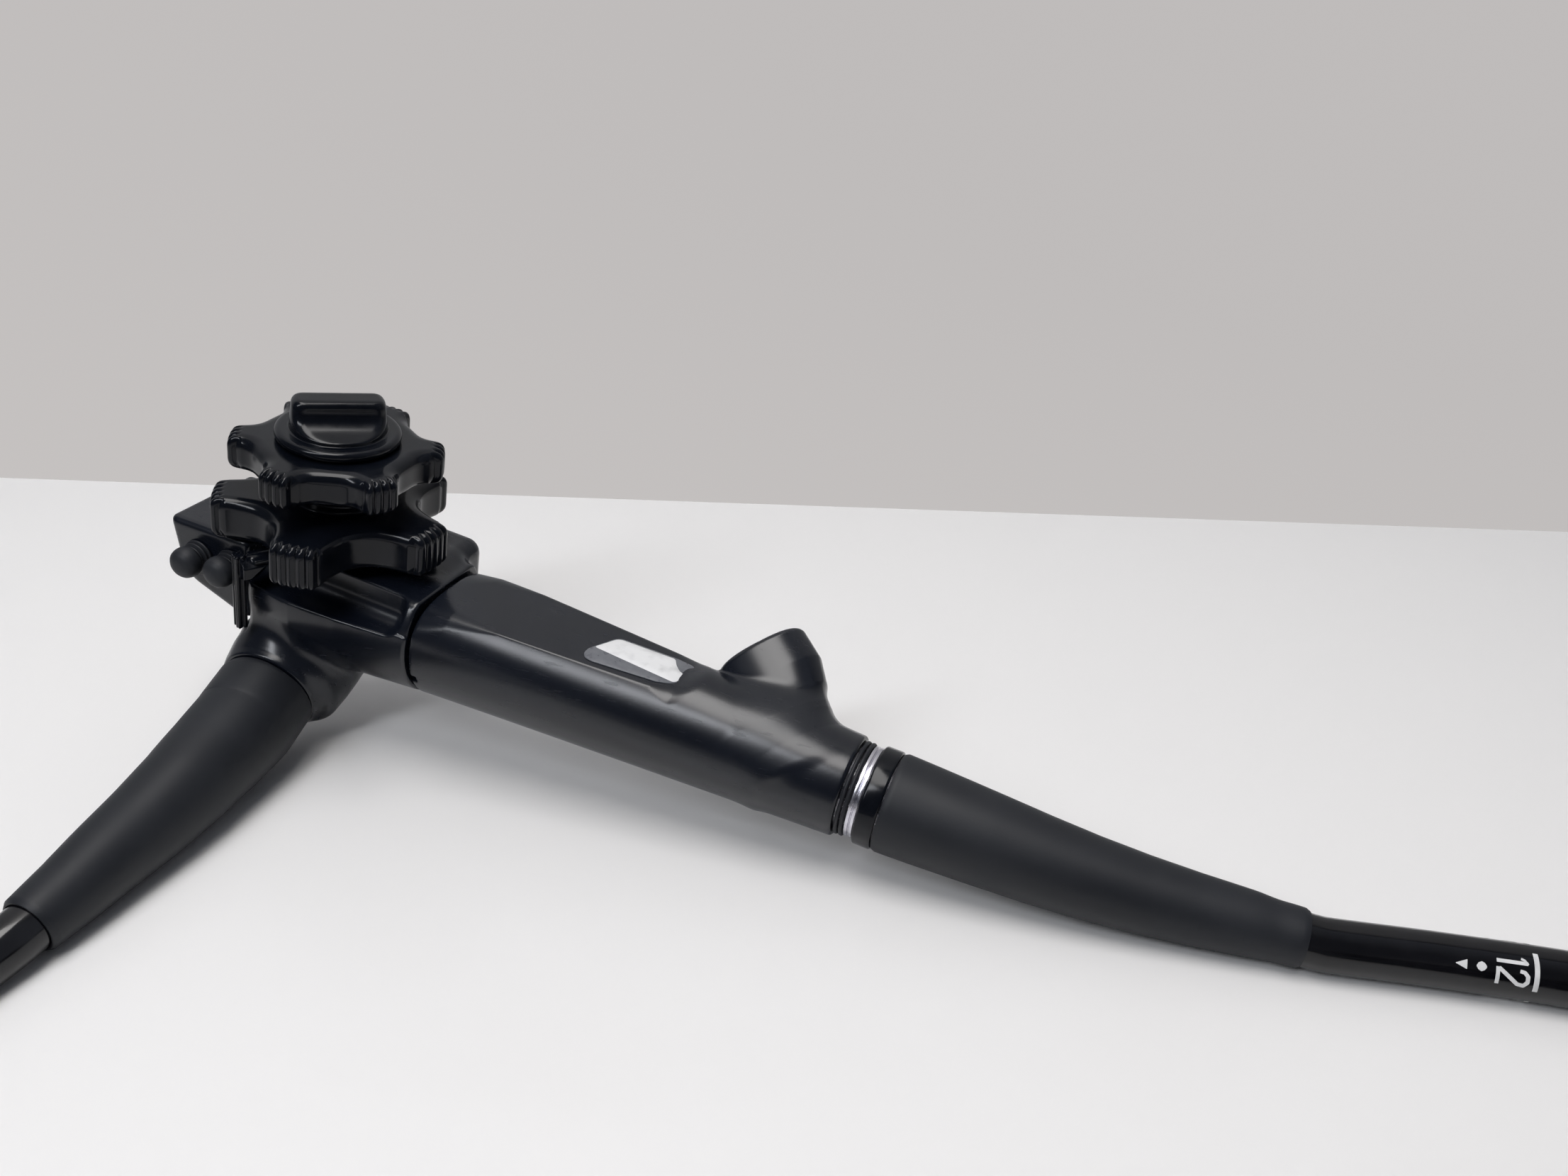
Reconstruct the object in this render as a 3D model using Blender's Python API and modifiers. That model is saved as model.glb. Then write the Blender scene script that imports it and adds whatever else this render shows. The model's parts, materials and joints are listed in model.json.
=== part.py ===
"""Flexible endoscope lying on a bench with its control wheels up.

Everything on the control section is placed in the body frame: x runs along the
grip towards the insertion tube, z is the axis of the control wheels and y
points to the valve side. The body frame leans, because the control section
rests on its umbilical boss at one end and on the insertion boot at the other.
The insertion tube and the umbilical cable lie on the bench (z = 0), each with
a coil of the length that is not laid out. Sizes are metres, angles radians.
"""

import math

import bmesh
import bpy
from mathutils import Matrix, Vector

MM = 0.001
GAP = 0.3 * MM

# Where the control section stands on the bench
BODY_X = -114.33 * MM
BODY_Y = 39.47 * MM
BODY_HEIGHT = 43.0 * MM
LEAN = math.radians(8.5)

# Grip
GRIP_START = 35.6 * MM
GRIP_END = 154.2 * MM
GRIP_WALL = 2.0 * MM
GRIP_START_RADIUS = 19.3 * MM
GRIP_END_RADIUS = 13.2 * MM
FACET_HEIGHT = 13.1 * MM
SEAM_GAP = 1.1 * MM
SECTION_POINTS = 32

# Instrument port
PORT_AZIMUTH = math.radians(55.0)
PORT_TILT = math.radians(38.0)
PORT_MOUTH_X = 119.0 * MM
PORT_MOUTH_HEIGHT = 25.4 * MM
PORT_LENGTH_RADIUS = 12.0 * MM
PORT_WIDTH_RADIUS = 9.3 * MM
PORT_POCKET_RADIUS = 7.2 * MM
PORT_POCKET_DEPTH = 9.0 * MM
CHANNEL_RADIUS = 2.6 * MM
CHANNEL_BORE = 2.0 * MM
CHANNEL_CLEARANCE = 0.9 * MM

# Head
HEAD_START = -15.0 * MM
RECESS_FLOOR = 4.2 * MM
RECESS_WALL_Y = -11.2 * MM
RECESS_END_X = 31.0 * MM
RECESS_CORNER = 4.0 * MM

# Umbilical boss and boot
RING_CENTRE = Vector((-5.7, -22.8, -26.2)) * MM
BOSS_BORE = 7.0 * MM
BOSS_DEPTH = 9.0 * MM
BOSS_FLARE = (
    (0.0, 0.0, 0.0, 13.6),
    (2.0, 0.0, 0.2, 14.2),
    (6.0, 1.0, 1.6, 15.4),
    (11.0, 3.0, 4.4, 16.4),
    (19.0, 6.0, 9.0, 16.5),
)
PASSAGE_END = Vector((-3.0, -3.0, -7.0)) * MM
PASSAGE_RADIUS = 4.6 * MM

# Valve block
VALVE_X = (0.5 * MM, 20.5 * MM)
VALVE_BORE = 4.3 * MM
VALVE_LINER_WALL = 0.9 * MM
VALVE_BLOCK_Y = 25.0 * MM
VALVE_AXIS_Z = 0.5 * MM

# Switch box
BOX_END_X = -38.5 * MM
BOX_TOP = FACET_HEIGHT + 2.1 * MM
BOX_FRONT_Y = -18.6 * MM
BOX_BACK_Y = 13.0 * MM
BOX_WALL = 2.2 * MM
BOX_SEAT_DEPTH = 11.0 * MM
SWITCH_X = (-30.7 * MM, -20.2 * MM)
SWITCH_Z = (6.2 * MM, 7.0 * MM)

# Levers on the facet, under the lower wheel
LEVER_THICKNESS = 1.0 * MM
LEVER_HUB = 9.0 * MM
ELEVATOR_BOTTOM = FACET_HEIGHT + GAP
ELEVATOR_ANGLE = math.radians(-118.0)
ELEVATOR_REACH = 26.8 * MM
THUMB_TOP = ELEVATOR_BOTTOM + 1.8 * MM
THUMB_BOTTOM = THUMB_TOP - 21.8 * MM
THUMB_DEPTH = 3.8 * MM
THUMB_WIDTH = 2.9 * MM
BRAKE_LEVER_BOTTOM = ELEVATOR_BOTTOM + LEVER_THICKNESS + GAP
BRAKE_LEVER_ANGLE = math.radians(112.0)
BRAKE_LEVER_REACH = 29.0 * MM

# Control wheels, one above the other on the wheel axis
UD_RADIUS = 31.8 * MM
UD_VALLEY = 17.5 * MM
UD_BOTTOM = BRAKE_LEVER_BOTTOM + LEVER_THICKNESS + 0.4 * MM
UD_TOP = UD_BOTTOM + 12.3 * MM
UD_LOBES = 5
UD_PHASE = math.radians(-74.0)
UD_LOBE_WIDTH = 12.4 * MM
RL_RADIUS = 27.4 * MM
RL_VALLEY = 21.0 * MM
RL_BOTTOM = UD_TOP + 6.8 * MM
RL_TOP = RL_BOTTOM + 9.8 * MM
RL_LOBES = 6
RL_PHASE = math.radians(-90.0)
RL_LOBE_WIDTH = 9.4 * MM
HUB_RADIUS = 12.0 * MM
HUB_TOP = UD_TOP + 3.0 * MM
RIB_DEPTH = 0.45 * MM

# Coaxial shafts
POST_RADIUS = 2.2 * MM
RL_SHAFT_RADIUS = 3.7 * MM
UD_SHAFT_RADIUS = 5.2 * MM
DRUM_RADIUS = 7.4 * MM
DRUM_HEIGHT = 3.0 * MM
RL_DRUM_Z = -4.6 * MM
UD_DRUM_Z = -0.9 * MM
WIRE_RADIUS = 0.35 * MM
CHASSIS_TOP = -5.2 * MM
CHASSIS_THICKNESS = 2.0 * MM

# Brake knob on top
FLANGE_BOTTOM = RL_TOP + GAP
FLANGE_RADIUS = 16.7 * MM
FLANGE_TOP = FLANGE_BOTTOM + 2.3 * MM
BRAKE_BASE_RADIUS = 12.4 * MM
BRAKE_BASE_TOP = FLANGE_TOP + 1.8 * MM
POST_TOP = BRAKE_BASE_TOP + 1.2 * MM
POST_HOLE_DEPTH = 12.0 * MM
BAR_TOP = BRAKE_BASE_TOP + 7.2 * MM
BAR_LENGTH = 20.0 * MM
BAR_WIDTH = 8.6 * MM
BAR_ANGLE = math.radians(43.0)

# Joint between the grip and the insertion boot
SLEEVE_RADIUS = 10.8 * MM
SLEEVE_BORE = 9.3 * MM
SLEEVE_START = 146.0 * MM
SLEEVE_END = 170.0 * MM
RING_STEP = 1.35 * MM
SEAL_RADIUS = 12.3 * MM
BAND_RADIUS = 11.9 * MM
COLLAR_START = 159.6 * MM
COLLAR_END = 164.4 * MM
COLLAR_RADIUS = 12.85 * MM

# Boots, in the body frame
INSERTION_BOOT_ROUTE = (
    Vector((COLLAR_END / MM + 0.3, 0.0, 0.0)) * MM,
    Vector((189.7, 0.2, 0.1)) * MM,
    Vector((209.0, 0.8, 0.0)) * MM,
    Vector((225.0, 1.8, 0.3)) * MM,
    Vector((241.0, 3.2, 1.2)) * MM,
    Vector((252.0, 4.2, 2.2)) * MM,
    Vector((266.0, 5.4, 3.2)) * MM,
)
UMBILICAL_BOOT_ROUTE = (
    Vector((-2.9, -37.6, -29.2)) * MM,
    Vector((0.2, -61.8, -31.2)) * MM,
    Vector((0.9, -79.5, -32.8)) * MM,
    Vector((1.8, -94.5, -34.2)) * MM,
    Vector((2.1, -109.5, -35.4)) * MM,
)

# Flexible tubes, on the bench; the umbilical's coil lies on the insertion tube's
TUBE_RADIUS = 6.4 * MM
CABLE_RADIUS = 6.3 * MM
CORD_HOLD = 5.0 * MM
COIL_RADIUS = 66.0 * MM
COIL_HALF_WIDTH = 13.4 * MM
COIL_OUTSIDE = COIL_RADIUS + COIL_HALF_WIDTH
TUBE_COIL_HEIGHT = 26.2 * MM
CABLE_COIL_BOTTOM = TUBE_COIL_HEIGHT + GAP
CABLE_COIL_HEIGHT = 12.9 * MM
COILS_TOP = CABLE_COIL_BOTTOM + CABLE_COIL_HEIGHT
COIL_AT = Vector((395.0, -105.0, 0.0)) * MM
COIL_ENTRY = math.radians(60.0)
CABLE_ENTRY = math.radians(160.0)
TUBE_ROUTE = (
    Vector((293.2, 11.4, 6.45)) * MM,
    Vector((320.7, 16.8, 6.45)) * MM,
    Vector((336.0, 17.8, 6.45)) * MM,
    Vector((351.0, 14.8, 6.45)) * MM,
    Vector((370.0, 5.6, 6.45)) * MM,
    Vector((402.0, -11.6, 6.45)) * MM,
)
TUBE_END_ROUTE = (
    Vector((372.0, -190.4, 6.45)) * MM,
    Vector((350.0, -188.4, 6.45)) * MM,
    Vector((326.0, -185.2, 6.45)) * MM,
)
CABLE_ROUTE = (
    Vector((-4.2, -124.0, 6.4)) * MM,
    Vector((-4.4, -146.0, 6.35)) * MM,
    Vector((2.8, -173.0, 6.35)) * MM,
    Vector((22.6, -192.8, 6.35)) * MM,
    Vector((49.6, -200.0, 6.35)) * MM,
    Vector((69.7, -196.1, 6.35)) * MM,
    Vector((107.0, -181.1, 6.35)) * MM,
    Vector((145.0, -165.8, 8.8)) * MM,
    Vector((183.0, -150.5, 15.4)) * MM,
    Vector((221.0, -135.2, 22.2)) * MM,
    Vector((255.0, -121.5, 27.0)) * MM,
    Vector((279.0, -111.9, 30.0)) * MM,
    Vector((298.0, -99.8, 32.1)) * MM,
)
CABLE_END_ROUTE = (
    Vector((362.0, -47.8, 0.0)) * MM,
    Vector((395.0, -39.0, 0.0)) * MM,
    Vector((428.0, -47.8, 0.0)) * MM,
    Vector((463.8, -74.9, 0.0)) * MM,
    Vector((478.9, -96.6, 0.4)) * MM,
    Vector((481.2, -122.9, 1.9)) * MM,
    Vector((470.1, -146.8, 4.0)) * MM,
    Vector((452.6, -160.2, 6.1)) * MM,
)

# Bending section at the end of the insertion tube
BEND_START = Vector((303.0, -184.0, 6.45)) * MM
BEND_HEADING = math.radians(180.0)
VERTEBRA_PITCH = 9.0 * MM
VERTEBRA_RADIUS = 5.8 * MM
VERTEBRA_BORE = 4.8 * MM
VERTEBRA_COUNT = 8
VERTEBRA_CUT = math.radians(16.0)
TIP_RADIUS = 6.4 * MM
TIP_LENGTH = 24.0 * MM
ELEVATOR_WIDTH = 3.6 * MM

# Connector at the end of the umbilical cable, on top of the coils
CONNECTOR_RADIUS = 21.0 * MM
CONNECTOR_LENGTH = 62.0 * MM
CONNECTOR_AT = Vector((360.0 * MM, -165.0 * MM, COILS_TOP + CONNECTOR_RADIUS + 0.4 * MM))

# Light guide, in the body frame
LIGHT_GUIDE_RADIUS = 2.0 * MM
LIGHT_GUIDE_ROUTE = (
    Vector((-2.6, -5.6, -10.6)) * MM,
    Vector((6.0, 0.0, -10.8)) * MM,
    Vector((20.0, 1.0, -10.8)) * MM,
    Vector((60.0, 1.0, -10.8)) * MM,
    Vector((116.0, 1.0, -10.2)) * MM,
    Vector((143.0, 0.5, -6.2)) * MM,
    Vector((156.0, 0.5, -5.4)) * MM,
    Vector((168.0, 0.5, -5.2)) * MM,
)

PARTS = None
CUTTERS = None
BENCH = None
BODY = None


def clear_scene():
    """Remove what the file opens with and make the two collections."""
    global PARTS, CUTTERS
    for obj in list(bpy.data.objects):
        bpy.data.objects.remove(obj, do_unlink=True)
    PARTS = bpy.data.collections.new("flexible_endoscope")
    CUTTERS = bpy.data.collections.new("cutters")
    bpy.context.scene.collection.children.link(PARTS)
    bpy.context.scene.collection.children.link(CUTTERS)


def make_frames():
    """The bench frame, and the leaning body frame that it carries."""
    global BENCH, BODY
    BENCH = bpy.data.objects.new("bench_frame", None)
    BENCH.location = (BODY_X, BODY_Y, 0.0)
    BODY = bpy.data.objects.new("body_frame", None)
    BODY.parent = BENCH
    BODY.location = (0.0, 0.0, BODY_HEIGHT)
    BODY.rotation_euler = (0.0, LEAN, 0.0)
    for empty in (BENCH, BODY):
        PARTS.objects.link(empty)


def material(name, colour, roughness, metallic=0.0):
    mat = bpy.data.materials.get(name)
    if mat:
        return mat
    mat = bpy.data.materials.new(name)
    mat.use_nodes = True
    shader = mat.node_tree.nodes["Principled BSDF"]
    shader.inputs["Base Color"].default_value = (*colour, 1.0)
    shader.inputs["Roughness"].default_value = roughness
    shader.inputs["Metallic"].default_value = metallic
    return mat


def shell_plastic():
    return material("shell_plastic", (0.008, 0.010, 0.016), 0.35)


def knob_plastic():
    return material("knob_plastic", (0.006, 0.007, 0.010), 0.22)


def soft_rubber():
    return material("soft_rubber", (0.020, 0.021, 0.025), 0.62)


def tube_polymer():
    return material("tube_polymer", (0.005, 0.005, 0.006), 0.15)


def bright_metal():
    return material("bright_metal", (0.62, 0.62, 0.64), 0.25, 1.0)


def label_stock():
    return material("label_stock", (0.72, 0.72, 0.74), 0.3)


def link(name, mesh, mat, frame, location=(0.0, 0.0, 0.0), rotation=(0.0, 0.0, 0.0)):
    """Put a mesh in the scene as a sub-part, or as a cutter without a material."""
    obj = bpy.data.objects.new(name, mesh)
    obj.parent = frame
    obj.location = location
    obj.rotation_euler = rotation
    if mat:
        mesh.materials.append(mat)
        PARTS.objects.link(obj)
    else:
        CUTTERS.objects.link(obj)
        obj.hide_render = True
        obj.display_type = "WIRE"
    return obj


def smooth(mesh, angle=35.0):
    mesh.shade_smooth()
    mesh.set_sharp_from_angle(angle=math.radians(angle))


def mesh_from(bm, name, rounded=True):
    bmesh.ops.recalc_face_normals(bm, faces=bm.faces)
    mesh = bpy.data.meshes.new(name)
    bm.to_mesh(mesh)
    bm.free()
    if rounded:
        smooth(mesh)
    return mesh


def towards(direction):
    """Rotation that turns local z into a direction."""
    return direction.to_track_quat("Z", "Y").to_euler()


def loft(name, rings, mat, frame, closed=False):
    """Skin a row of rings with equal point counts.

    An open row is capped at both ends; a closed row runs round a hollow piece,
    out along its outer wall and back along its bore.
    """
    bm = bmesh.new()
    loops = [[bm.verts.new(point) for point in ring] for ring in rings]
    count = len(loops[0])
    pairs = list(zip(loops, loops[1:]))
    if closed:
        pairs.append((loops[-1], loops[0]))
    for first, second in pairs:
        for i in range(count):
            j = (i + 1) % count
            bm.faces.new((first[i], first[j], second[j], second[i]))
    if not closed:
        bm.faces.new(loops[0])
        bm.faces.new(loops[-1])
    return link(name, mesh_from(bm, name), mat, frame)


def turned(name, profile, mat, frame, location=(0.0, 0.0, 0.0), rotation=(0.0, 0.0, 0.0), steps=32):
    """Turn a profile of (radius, height) points about local z with a Screw modifier.

    A profile that starts and ends on the axis closes there; any other profile
    is a loop, which makes a ring. It runs down its outer side.
    """
    mesh = bpy.data.meshes.new(name)
    points = [(radius, 0.0, height) for radius, height in profile]
    edges = [(i, i + 1) for i in range(len(points) - 1)]
    if profile[0][0] > 0.0:
        edges.append((len(points) - 1, 0))
    mesh.from_pydata(points, edges, [])
    obj = link(name, mesh, mat, frame, location, rotation)
    screw = obj.modifiers.new("turn", "SCREW")
    screw.axis = "Z"
    screw.angle = 2.0 * math.pi
    screw.steps = steps
    screw.render_steps = steps
    screw.use_merge_vertices = True
    screw.merge_threshold = 0.00001
    screw.use_smooth_shade = True
    return obj


def block(name, size, mat, frame, location=(0.0, 0.0, 0.0), rotation=(0.0, 0.0, 0.0)):
    bm = bmesh.new()
    bmesh.ops.create_cube(bm, size=1.0)
    bmesh.ops.scale(bm, vec=size, verts=bm.verts)
    return link(name, mesh_from(bm, name, rounded=False), mat, frame, location, rotation)


def rod(name, radius, length, mat, frame, location, direction, sides=24):
    """Cylinder centred on a point, along a direction."""
    bm = bmesh.new()
    bmesh.ops.create_cone(
        bm, cap_ends=True, segments=sides, radius1=radius, radius2=radius, depth=length
    )
    return link(name, mesh_from(bm, name), mat, frame, location, towards(direction))


def prism(name, outline, bottom, top, mat, frame, location=(0.0, 0.0, 0.0), rotation=(0.0, 0.0, 0.0)):
    """Upright solid between two heights, from a filled flat outline of (x, y) points."""
    curve = bpy.data.curves.new(name, "CURVE")
    curve.dimensions = "2D"
    curve.fill_mode = "BOTH"
    curve.extrude = 0.5 * (top - bottom)
    spline = curve.splines.new("POLY")
    spline.points.add(len(outline) - 1)
    spline.use_cyclic_u = True
    for slot, (x, y) in zip(spline.points, outline):
        slot.co = (x, y, 0.0, 1.0)
    flat = bpy.data.objects.new(name, curve)
    CUTTERS.objects.link(flat)
    mesh = bpy.data.meshes.new_from_object(flat.evaluated_get(bpy.context.evaluated_depsgraph_get()))
    mesh.materials.clear()
    bm = bmesh.new()
    bm.from_mesh(mesh)
    bmesh.ops.remove_doubles(bm, verts=bm.verts, dist=0.000001)
    bmesh.ops.translate(bm, vec=(0.0, 0.0, 0.5 * (top + bottom)), verts=bm.verts)
    bmesh.ops.recalc_face_normals(bm, faces=bm.faces)
    bm.to_mesh(mesh)
    bm.free()
    bpy.data.objects.remove(flat, do_unlink=True)
    return link(name, mesh, mat, frame, location, rotation)


def bevel(obj, width, segments=2, angle=30.0):
    mod = obj.modifiers.new("bevel", "BEVEL")
    mod.width = width
    mod.segments = segments
    mod.limit_method = "ANGLE"
    mod.angle_limit = math.radians(angle)
    mod.use_clamp_overlap = True
    return obj


def combine(obj, other, operation="DIFFERENCE"):
    mod = obj.modifiers.new(operation.lower(), "BOOLEAN")
    mod.operation = operation
    mod.solver = "EXACT"
    mod.object = other
    return obj


def smooth_route(points, spacing):
    """Even points on a Catmull-Rom curve through the route's points."""
    padded = [2 * points[0] - points[1], *points, 2 * points[-1] - points[-2]]
    fine = []
    for before, start, end, after in zip(padded, padded[1:], padded[2:], padded[3:]):
        for step in range(24):
            t = step / 24.0
            fine.append(
                0.5
                * (
                    2 * start
                    + (end - before) * t
                    + (2 * before - 5 * start + 4 * end - after) * t**2
                    + (3 * start - 3 * end + after - before) * t**3
                )
            )
    fine.append(points[-1])
    lengths = [0.0]
    for first, second in zip(fine, fine[1:]):
        lengths.append(lengths[-1] + (second - first).length)
    count = max(2, round(lengths[-1] / spacing))
    route = []
    index = 0
    for step in range(count + 1):
        target = lengths[-1] * step / count
        while index < len(fine) - 2 and lengths[index + 1] < target:
            index += 1
        span = lengths[index + 1] - lengths[index]
        share = (target - lengths[index]) / span if span else 0.0
        route.append(fine[index].lerp(fine[index + 1], min(1.0, max(0.0, share))))
    return route


def cord(name, points, radius, mat, frame, spacing, resolution=2):
    """Tube curve along a smooth route, with filled ends."""
    curve = bpy.data.curves.new(name, "CURVE")
    curve.dimensions = "3D"
    curve.bevel_depth = radius
    curve.bevel_resolution = resolution
    curve.use_fill_caps = True
    route = smooth_route([Vector(point) for point in points], spacing)
    spline = curve.splines.new("POLY")
    spline.points.add(len(route) - 1)
    for slot, point in zip(spline.points, route):
        slot.co = (*point, 1.0)
    curve.materials.append(mat)
    obj = bpy.data.objects.new(name, curve)
    obj.parent = frame
    PARTS.objects.link(obj)
    return obj


def sleeve_rings(centres, radii, sides, start=None):
    """Rings square to a path of centres, turned as little as possible along it.

    The first ring is square to the start direction where one is given.
    """
    side = None
    rings = []
    for i, centre in enumerate(centres):
        ahead = centres[min(i + 1, len(centres) - 1)] - centres[max(i - 1, 0)]
        if i == 0 and start:
            ahead = start.copy()
        ahead.normalize()
        if side is None:
            side = ahead.orthogonal()
        side = (side - ahead * side.dot(ahead)).normalized()
        up = ahead.cross(side)
        ring = []
        for k in range(sides):
            angle = 2.0 * math.pi * k / sides
            ring.append(centre + radii[i] * (math.cos(angle) * side + math.sin(angle) * up))
        rings.append(ring)
    return rings


def hollow_sleeve(name, centres, outer, inner, mat, frame, sides=20, start=None):
    """Tube with its own outer and inner radius at each centre."""
    walls = sleeve_rings(centres, outer, sides, start) + sleeve_rings(centres, inner, sides, start)[::-1]
    return loft(name, walls, mat, frame, closed=True)


def body_section(x, radius, flat, squash=0.93):
    """Round section across the grip, cut flat on top and slightly narrower than high."""
    ring = []
    for k in range(SECTION_POINTS):
        angle = 2.0 * math.pi * (k + 0.5) / SECTION_POINTS
        ring.append(Vector((x, squash * radius * math.cos(angle), min(radius * math.sin(angle), flat))))
    return ring


def grip_radius(x):
    """Radius of the grip, which narrows towards the insertion tube."""
    share = (x - GRIP_START) / (GRIP_END - GRIP_START)
    return GRIP_START_RADIUS + (GRIP_END_RADIUS - GRIP_START_RADIUS) * share**0.92


def grip_squash(x):
    share = (x - GRIP_START) / (GRIP_END - GRIP_START)
    return 0.93 + 0.07 * min(1.0, max(0.0, share))


def port_outward():
    """Direction across the grip in which the instrument port stands."""
    return Vector((0.0, math.sin(PORT_AZIMUTH), math.cos(PORT_AZIMUTH)))


def port_axis():
    """Direction out of the instrument port's mouth, back towards the head."""
    return Vector((-math.cos(PORT_TILT), 0.0, 0.0)) + math.sin(PORT_TILT) * port_outward()


def port_mouth():
    return Vector((PORT_MOUTH_X, 0.0, 0.0)) + PORT_MOUTH_HEIGHT * port_outward()


def port_horn():
    """The horn of the instrument port, an oval tube that sinks into the grip."""
    axis = port_axis()
    along = Vector((math.sin(PORT_TILT), 0.0, 0.0)) + math.cos(PORT_TILT) * port_outward()
    across = axis.cross(along)
    stations = (
        (0.0, 0.0, 0.97, 0.95),
        (-1.6, 0.0, 1.0, 1.0),
        (-10.0, -0.3, 1.03, 1.0),
        (-17.0, -2.0, 0.98, 0.97),
        (-24.0, -5.0, 0.82, 0.88),
        (-30.0, -8.5, 0.6, 0.75),
    )
    rings = []
    for depth, drop, length, width in stations:
        centre = port_mouth() + depth * MM * axis + drop * MM * along
        ring = []
        for k in range(24):
            angle = 2.0 * math.pi * k / 24
            ring.append(
                centre
                + PORT_LENGTH_RADIUS * length * math.cos(angle) * along
                + PORT_WIDTH_RADIUS * width * math.sin(angle) * across
            )
        rings.append(ring)
    return loft("port_horn", rings, None, BODY)


def label_outline(grow=0.0):
    """Bare label plate: a slanted strip with rounded ends."""
    corners = (
        (83.0, -7.2),
        (100.5, -8.8),
        (107.2, -6.4),
        (108.3, 2.4),
        (99.7, 8.0),
        (84.3, 4.4),
        (79.9, -3.6),
    )
    middle = Vector((94.0, -0.6))
    outline = []
    for x, y in corners:
        arm = Vector((x, y)) - middle
        point = (middle + arm * (1.0 + grow / arm.length)) * MM
        outline.append((point.x, point.y))
    return outline


def build_grip():
    stations = [GRIP_START + share * (GRIP_END - GRIP_START) for share in (0, 0.2, 0.4, 0.6, 0.8, 0.93, 1)]
    outer = [body_section(x, grip_radius(x), FACET_HEIGHT, grip_squash(x)) for x in stations]
    grip = loft("grip_shell", outer, shell_plastic(), BODY)
    combine(grip, port_horn(), "UNION")
    bore = []
    for i, x in enumerate(stations):
        over = (-MM if i == 0 else 0.0) + (MM if i == len(stations) - 1 else 0.0)
        wall = GRIP_WALL if i < len(stations) - 1 else grip_radius(x) - SLEEVE_RADIUS - GAP
        bore.append(
            body_section(x + over, grip_radius(x) - wall, FACET_HEIGHT - GRIP_WALL, grip_squash(x))
        )
    seat_x = SLEEVE_START - MM
    bore.insert(-1, body_section(seat_x, SLEEVE_RADIUS + GAP, FACET_HEIGHT, 1.0))
    bore[-1] = body_section(GRIP_END + MM, SLEEVE_RADIUS + GAP, FACET_HEIGHT, 1.0)
    bore = [ring for ring in bore if ring[0].x <= seat_x or ring is bore[-1]]
    combine(grip, loft("grip_bore", bore, None, BODY))
    axis = port_axis()
    pocket = port_mouth() + axis * (2.0 * MM - 0.5 * PORT_POCKET_DEPTH)
    depth = PORT_POCKET_DEPTH + 4.0 * MM
    combine(grip, rod("port_pocket", PORT_POCKET_RADIUS, depth, None, BODY, pocket, axis))
    channel = port_mouth() - axis * 18.0 * MM
    combine(grip, rod("port_bore", CHANNEL_RADIUS + CHANNEL_CLEARANCE, 36.0 * MM, None, BODY, channel, axis))
    combine(
        grip,
        prism("label_pocket", label_outline(0.5), FACET_HEIGHT - 0.5 * MM, FACET_HEIGHT + MM, None, BODY),
    )
    plate = prism(
        "label_plate", label_outline(), FACET_HEIGHT - 0.2 * MM, FACET_HEIGHT + 0.3 * MM, label_stock(), BODY
    )
    return grip, plate


def build_port():
    """Metal nozzle standing in the port, and the channel that runs on through the grip."""
    axis = port_axis()
    floor = PORT_POCKET_DEPTH - GAP
    profile = (
        (2.0, 0.0),
        (2.0, 5.2),
        (4.2, 5.2),
        (4.4, 4.6),
        (3.7, 3.9),
        (3.7, 1.8),
        (6.6, 1.6),
        (6.6, 0.0),
    )
    turned(
        "port_nozzle",
        [(radius * MM, height * MM) for radius, height in profile],
        bright_metal(),
        BODY,
        port_mouth() - axis * floor,
        towards(axis),
        16,
    )
    start = port_mouth() - axis * (PORT_POCKET_DEPTH + GAP)
    route = [
        start,
        start - axis * 9.0 * MM,
        Vector((139.0, 4.6, 2.0)) * MM,
        Vector((150.0, 3.4, 1.6)) * MM,
        Vector((170.0, 3.2, 1.4)) * MM,
    ]
    centres = smooth_route(route, 7.0 * MM)
    count = len(centres)
    hollow_sleeve(
        "channel_tube", centres, [CHANNEL_RADIUS] * count, [CHANNEL_BORE] * count, tube_polymer(), BODY, 8
    )


def build_sleeve():
    """Metal sleeve that joins grip and boot, with its seals, bright band and collar."""
    quarter = (0.0, 0.5 * math.pi, 0.0)

    def ring(name, inner, outer, start, end, mat, edge):
        profile = ((inner, start), (inner, end), (outer - edge, end), (outer, end - edge), (outer, start))
        turned(name, profile, mat, BODY, rotation=quarter, steps=20)

    seat = SLEEVE_RADIUS + GAP
    ring("end_sleeve", SLEEVE_BORE, SLEEVE_RADIUS, SLEEVE_START, SLEEVE_END, bright_metal(), 0.4 * MM)
    first = GRIP_END + GAP
    for i in range(2):
        start = first + i * RING_STEP
        end = start + RING_STEP - GAP
        ring(f"seal_ring_{i + 1}", seat, SEAL_RADIUS, start, end, soft_rubber(), 0.3 * MM)
    band = first + 2 * RING_STEP
    ring("bright_band", seat, BAND_RADIUS, band, COLLAR_START - GAP, bright_metal(), 0.2 * MM)
    ring("collar", seat, COLLAR_RADIUS, COLLAR_START, COLLAR_END, knob_plastic(), 0.4 * MM)


def build_insertion_boot():
    centres = smooth_route(INSERTION_BOOT_ROUTE, 12.0 * MM)
    length = len(centres) - 1
    outer = []
    inner = []
    for i in range(length + 1):
        share = i / length
        outer.append((12.85 - 6.0 * share**1.25) * MM)
        on_sleeve = i == 0 or centres[i - 1].x < SLEEVE_END
        inner.append((SLEEVE_RADIUS if on_sleeve else TUBE_RADIUS) + GAP)
    hollow_sleeve(
        "insertion_boot", centres, outer, inner, soft_rubber(), BODY, start=Vector((1.0, 0.0, 0.0))
    )
    return centres


def out_of_boot(centres):
    """First points of a cord that leaves a boot straight: in its mouth and just outside."""
    mouth = centres[-1]
    back = (centres[-2] - mouth).normalized()
    return [mouth + back * CORD_HOLD, mouth, mouth - back * CORD_HOLD]


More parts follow.
